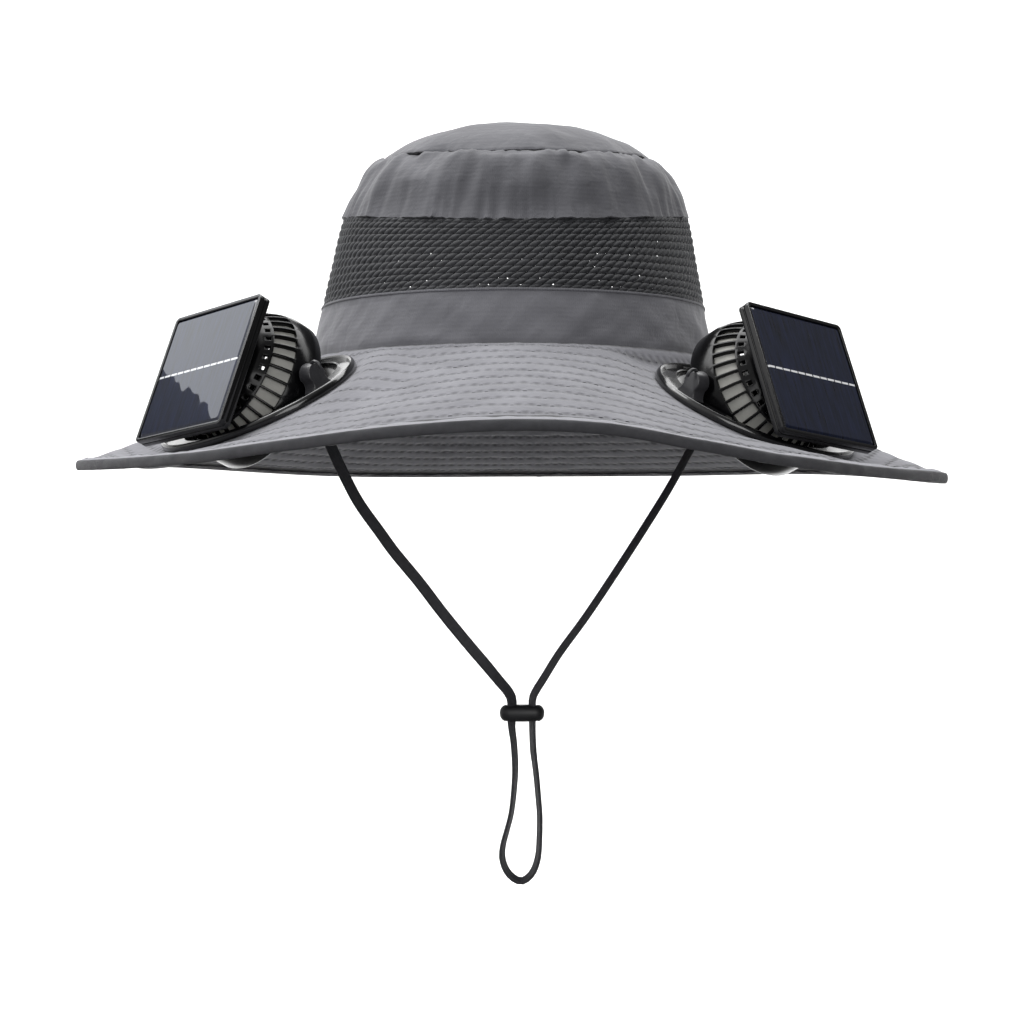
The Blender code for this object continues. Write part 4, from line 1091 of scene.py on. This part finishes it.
def makeGrille(name, body, place):
    parts = [turned("outerRing", outerRingRows, 72), turned("middleRing", middleRingRows, 64),
             turned("hubCap", hubCapRows, 40, "caps")]
    deselectAll()
    bpy.ops.mesh.primitive_grid_add(x_subdivisions=14, y_subdivisions=1, size=2)
    spoke = bpy.context.object
    for vertex in spoke.data.vertices:
        along = (vertex.co.x + 1) / 2
        radius = 0.0078 + 0.0195 * along
        turn = 0.45 * along ** 1.4 + vertex.co.y * 0.0006 / radius
        vertex.co = (radius * math.cos(turn), radius * math.sin(turn), -0.0056)
    wall(spoke, 0.0013)
    if min(v.co.z for v in spoke.data.vertices) < -0.0058:
        spoke.data.transform(Matrix.Translation((0, 0, 0.0013)))
    roundEdges(spoke, 0.0002, 2)
    spokes = [copied(spoke, turn) for turn in around(fan["spokes"])]
    bpy.data.objects.remove(spoke)
    for part in parts:
        roundEdges(part, 0.0003, 2)
    piece = settle(joinAll(f"fanGrille_{name}", parts + spokes), place)
    dress(piece, materials["satin"], body, "matte_black", f"front_grille_{name}")


# share of the reach, chord share, pitch and sweep in degrees
bladeStations = ((0.27, 0.24, 52, 0), (0.45, 0.33, 46, 3), (0.657, 0.42, 40, 7),
                 (0.85, 0.50, 34, 12), (1.0, 0.50, 30, 17))


def makeImpeller(name, side, body, place):
    hub = turned("hub", hubRows, 48)
    roundEdges(hub, 0.0003, 2)
    deselectAll()
    bpy.ops.mesh.primitive_grid_add(x_subdivisions=12, y_subdivisions=8, size=2)
    blade = bpy.context.object
    for vertex in blade.data.vertices:
        along, across = (vertex.co.x + 1) / 2 * (len(bladeStations) - 1), vertex.co.y / 2
        index = min(int(along), len(bladeStations) - 2)
        reach, chord, pitch, sweep = (a + (b - a) * (along - index)
                                      for a, b in zip(bladeStations[index], bladeStations[index + 1]))
        turn, lean = math.radians(sweep) * side, math.radians(pitch)
        out = Vector((math.cos(turn), math.sin(turn), 0))
        chordWay = Vector((-math.sin(turn), math.cos(turn), 0)) * side * math.cos(lean)
        chordWay.z = math.sin(lean)
        camber = out.cross(chordWay) * 0.0010 * (1 - 4 * across * across)
        tip = 1 - 0.10 * (2 * across) ** 2 * (along / 4) ** 3
        vertex.co = (out * fan["bladeReach"] * reach * tip + Vector((0, 0, 0.0005))
                     + chordWay * across * fan["bladeReach"] * chord + camber)
    wall(blade, 0.0010)
    roundEdges(blade, 0.0003, 2)
    parts = [hub] + [copied(blade, turn) for turn in around(fan["blades"])]
    bpy.data.objects.remove(blade)
    piece = settle(joinAll(f"fanImpeller_{name}", parts), place)
    dress(piece, materials["satin"], body, "impeller_black", f"impeller_{name}", angle=50)


def makeFlange(name, place):
    # an oval plate with a raised bead round it and a skirt down through the brim
    hole, y = fan["holeRadius"], -seatSizes["offset"]
    # how far in from the oval's edge, and how high
    bead = ((0.0, 0.0003), (0.0, 0.0020), (0.0004, 0.0030), (0.0010, 0.0034), (0.0017, 0.0030),
            (0.0022, 0.0016))
    # how far out from the hole, and how high
    skirt = ((0.0012, 0.0016), (0.0004, 0.0019), (0.0, 0.0015), (0.0, -0.0055), (0.0015, -0.0055),
             (0.0015, 0.0003))
    rows = [(seatSizes["halfLength"] - inset, seatSizes["halfWidth"] - inset, y, z) for inset, z in bead]
    rows += [(hole + out, hole + out, 0, z) for out, z in skirt]
    piece = loftedPiece(f"flangePlate_{name}", rows, 128)
    roundEdges(piece, 0.00025, 2, 35)
    dress(settle(piece, place), materials["gloss"], "hat", "gloss_black", f"bezel_{name}", angle=40)


def makeEars(name, place):
    # a broad post at each end of the pivot, with a small hook on top of it
    parts, hole, high = [], fan["holeRadius"], seatSizes["pivotHeight"]
    for side in (-1, 1):
        deselectAll()
        bpy.ops.mesh.primitive_circle_add(vertices=32, radius=0.0048, fill_type="NGON")
        ear = bpy.context.object
        for vertex in ear.data.vertices:
            if vertex.co.y < -0.0008:      # the lower half runs down into a flared foot
                depth = (-0.0008 - vertex.co.y) / 0.0040
                waist = 0.0042 + 0.0030 * depth ** 2
                vertex.co.x = math.copysign(waist, vertex.co.x) * min(1.0, abs(vertex.co.x) / 0.0025)
                vertex.co.y = -0.0008 - 0.0052 * depth ** 0.6
        bpy.ops.object.mode_set(mode="EDIT")
        bpy.ops.mesh.select_all(action="SELECT")
        extrudeOn((0, 0, 0.0052), (0.84, 0.92), (0, -0.004, 0))
        roundEdges(tidyMesh(ear), 0.0009, 3)
        # the ear stands in the plane across the pivot: its y is the seat's height
        ear.data.transform(Matrix(((0, 0, side, side * (hole + 0.0006)), (1, 0, 0, 0),
                                   (0, 1, 0, high + 0.0004), (0, 0, 0, 1))))
        if side < 0:
            ear.data.flip_normals()
        # the hook: most of a small ring, open at the bottom outside
        deselectAll()
        bpy.ops.mesh.primitive_torus_add(major_radius=0.0021, minor_radius=0.0007, major_segments=28,
                                         minor_segments=10)
        hook = bpy.context.object
        selectOnly(hook, "FACE", lambda face: -2.6 < math.atan2(face.center.y, face.center.x) < -0.5)
        bpy.ops.mesh.delete(type="FACE")
        bpy.ops.mesh.select_all(action="SELECT")
        bpy.ops.mesh.fill_holes(sides=0)
        leaveEdit()
        hook.data.transform(Matrix(((side, 0, 0, side * (hole + 0.0062)), (0, 0, -side, 0.0006),
                                    (0, 1, 0, high + 0.0030), (0, 0, 0, 1))))
        parts += [ear, hook]
    piece = joinAll(f"flangeEars_{name}", parts)
    bpy.ops.mesh.primitive_cylinder_add(vertices=24, radius=0.0025, depth=0.0738,
                                        rotation=(0, math.pi / 2, 0), location=(0, 0, high))
    cut(piece, settle(bpy.context.object))
    dress(settle(piece, place), materials["ear"], "hat", "matte_black", angle=40)


def makeClamp(name, place):
    # how far out from the hole, and how high
    rows = ((0.0018, -0.0023), (0.0058, -0.0023), (0.0058, -0.0035), (0.0048, -0.0043),
            (0.0018, -0.0043))
    piece = turned(f"clampRing_{name}", [(fan["holeRadius"] + out, z) for out, z in rows], 96)
    roundEdges(piece, 0.0003, 2)
    dress(settle(piece, place), materials["satin"], "hat", "matte_black", f"clamp_ring_{name}")


panel = {"side": 0.055, "thickness": 0.0046, "lip": 0.0015, "corner": 0.002, "drop": 0.005,
         "low": 0.0227, "cellDepth": 0.003, "cellGap": 0.0003}


def roundedPlate(name, side, corner, low):
    # leaves the plate in edit mode with its face selected
    deselectAll()
    bpy.ops.mesh.primitive_plane_add(size=side, location=(0, 0, low))
    piece = settle(named(bpy.context.object, name))
    bpy.ops.object.mode_set(mode="EDIT")
    bpy.ops.mesh.select_all(action="SELECT")
    bpy.ops.mesh.bevel(offset=corner, segments=5, affect="VERTICES")
    bpy.ops.mesh.select_all(action="SELECT")
    return piece


def makePanel(name, body, place):
    # the frame: a rounded tray with a groove round its side and a window for the cell
    drop = Matrix.Translation((0, -panel["drop"], 0))
    piece = roundedPlate(f"panelFrame_{name}", panel["side"], panel["corner"], panel["low"])
    for rise, scale in ((0.0019, 1.0), (0.0, 0.988), (0.0005, 1.0), (0.0, 1 / 0.988), (0.0022, 1.0)):
        extrudeOn((0, 0, rise), (scale, scale))
    bpy.ops.mesh.inset(thickness=panel["lip"])
    bpy.ops.mesh.extrude_region_move(TRANSFORM_OT_translate={"value": (0, 0, -panel["cellDepth"])})
    roundEdges(tidyMesh(piece), 0.00028, 2, 40)
    piece.data.transform(drop)
    pad = turned("pad", ((0.0115, 0.0208), (0.0130, 0.0212), (0.0140, 0.0228), (0.0140, 0.0232)), 48,
                 "caps")
    piece = settle(joinAll(f"panelFrame_{name}", [piece, pad]), place)
    dress(piece, materials["gloss"], body, "gloss_black", f"solar_frame_{name}", angle=30)

    window = panel["side"] - 2 * (panel["lip"] + panel["cellGap"])
    cell = roundedPlate(f"panelCell_{name}", window, panel["corner"] * 0.6,
                        panel["low"] + panel["thickness"] - panel["cellDepth"] + panel["cellGap"])
    for rise, scale in ((0.0021, 1.0), (0.0006, (window - 0.0018) / window)):
        extrudeOn((0, 0, rise), (scale, scale))
    tidyMesh(cell)
    layer = cell.data.uv_layers.active or cell.data.uv_layers.new(name="UVMap")
    for loop in cell.data.loops:
        point = cell.data.vertices[loop.vertex_index].co
        layer.data[loop.index].uv = (point.x / window + 0.5, point.y / window + 0.5)
    cell.data.transform(drop)
    dress(settle(cell, place), materials["cell"], body, "solar_glass", f"solar_cell_{name}", angle=20)


for seat, seatPlace in zip(seats, seatPlaces):
    sideName, fanPlace, fanBody = seat[0], fanMatrix(seat), f"fan_{seat[0]}"
    makeHousing(sideName, fanBody, fanPlace)
    makeGrille(sideName, fanBody, fanPlace)
    makeImpeller(sideName, seat[1], f"impeller_{sideName}", fanPlace)
    makePanel(sideName, fanBody, fanPlace)
    makeFlange(sideName, seatPlace)
    makeEars(sideName, seatPlace)
    makeClamp(sideName, seatPlace)
    print("fan made:", sideName)


# The studio: a pale sweep, a large soft light from the left and a weaker fill

studio = {"floor": -0.56, "near": -3.2, "bend": 1.6, "back": 2.5, "width": 4.5, "rise": 1.0}


def sweepShape(u, v):
    x = (u - 0.5) * 2 * studio["width"]
    run = v * 3
    if run < 1:
        return Vector((x, studio["near"] + (studio["bend"] - studio["near"]) * run, studio["floor"]))
    if run < 2:
        turn = (run - 1) * math.pi / 2
        radius = studio["back"] - studio["bend"]
        return Vector((x, studio["bend"] + radius * math.sin(turn),
                       studio["floor"] + radius * (1 - math.cos(turn))))
    return Vector((x, studio["back"],
                   studio["floor"] + studio["back"] - studio["bend"] + (run - 2) * studio["rise"]))


sweep = wrappedGrid("studioSweep", 4, 48, sweepShape)
paper, paperTree, paperShader = newMaterial("whiteSeamlessPaper")
paperPlace = addNode(paperTree, "TexCoord", out="Object")
paperTone = addNode(paperTree, "TexNoise", {"Vector": paperPlace, "Scale": 3.0, "Detail": 2.0})
paperColour = addNode(paperTree, "MapRange", {"Value": paperTone, "To Min": 0.90, "To Max": 0.93})
# a dark cloth lies over the floor up to the hat, so that little light comes from below
paperBack = addNode(paperTree, "SeparateXYZ", {0: paperPlace}, out="Y")
paperFade = addNode(paperTree, "MapRange", {"Value": paperBack, "From Min": 0.40, "From Max": 0.95,
                                            "To Min": 0.10, "To Max": 1.0},
                    interpolation_type="SMOOTHSTEP")
paperShown = addNode(paperTree, "Math", {0: paperColour, 1: paperFade}, operation="MULTIPLY")
setInputs(paperTree, paperShader, {"Base Color": paperShown, "Roughness": 0.95})
sweep.data.materials.append(paper)


def facing(place, aim, axis):
    return (Vector(aim) - Vector(place)).to_track_quat(axis, "Y").to_euler()


leftCell = (-0.119, -0.109, -0.012)
lights = (
    # name, place, aim, size, watts, colour
    ("keyLight", (-0.85, -0.35, 1.35), (0.0, 0.0, 0.0), 0.8, 12.0, (1.0, 1.0, 1.0)),
    ("fillLight", (0.35, -2.1, 0.25), (0.0, 0.0, 0.03), 1.2, 15.0, (1.0, 1.0, 1.0)),
    ("panelLight", (-1.28, 0.505, 0.91), leftCell, 0.5, 0.8, (0.86, 0.92, 1.0)),
    ("backdropLight", (0.0, 0.9, 1.7), (0.0, 2.5, -0.1), 2.6, 95.0, (1.0, 1.0, 1.0)),
)
for name, place, aim, size, watts, colour in lights:
    deselectAll()
    bpy.ops.object.light_add(type="AREA", location=place, rotation=facing(place, aim, "-Z"))
    light = bpy.context.object
    light.name = name
    light.data.size = size
    light.data.energy = watts
    light.data.color = colour

# a black card below the panel light, mirrored in the lower half of the left cell
deselectAll()
cardPlace = (-1.46, 0.604, 0.512)
bpy.ops.mesh.primitive_plane_add(size=0.42, location=cardPlace,
                                 rotation=facing(cardPlace, leftCell, "Z"))
card = named(bpy.context.object, "studioBlackCard")
cardPaper, cardTree, cardShader = newMaterial("blackCard")
setInputs(cardTree, cardShader, {"Base Color": (0.01, 0.01, 0.01, 1.0), "Roughness": 0.9})
card.data.materials.append(cardPaper)

# the room: bright overhead and to the left, dim in front and to the right
world = bpy.data.worlds.new("studioWorld")
world.use_nodes = True
bpy.context.scene.world = world
bpy.context.scene.view_settings.view_transform = "Standard"
skyTree = world.node_tree
skyWay = addNode(skyTree, "TexCoord", out="Generated")
skyHeight = addNode(skyTree, "MapRange", {
    "Value": addNode(skyTree, "SeparateXYZ", {0: skyWay}, out="Z"),
    "From Min": -0.35, "From Max": 0.7, "To Min": 0.2, "To Max": 0.85},
    interpolation_type="SMOOTHSTEP")
skySide = addNode(skyTree, "MapRange", {
    "Value": addNode(skyTree, "SeparateXYZ", {0: skyWay}, out="X"),
    "From Min": -0.9, "From Max": 0.8, "To Min": 1.25, "To Max": 0.14},
    interpolation_type="SMOOTHSTEP")
skyLevel = addNode(skyTree, "Math", {0: skyHeight, 1: skySide}, operation="MULTIPLY")
setInputs(skyTree, skyTree.nodes["Background"], {"Color": skyLevel, "Strength": 1.0})
print("studio made")
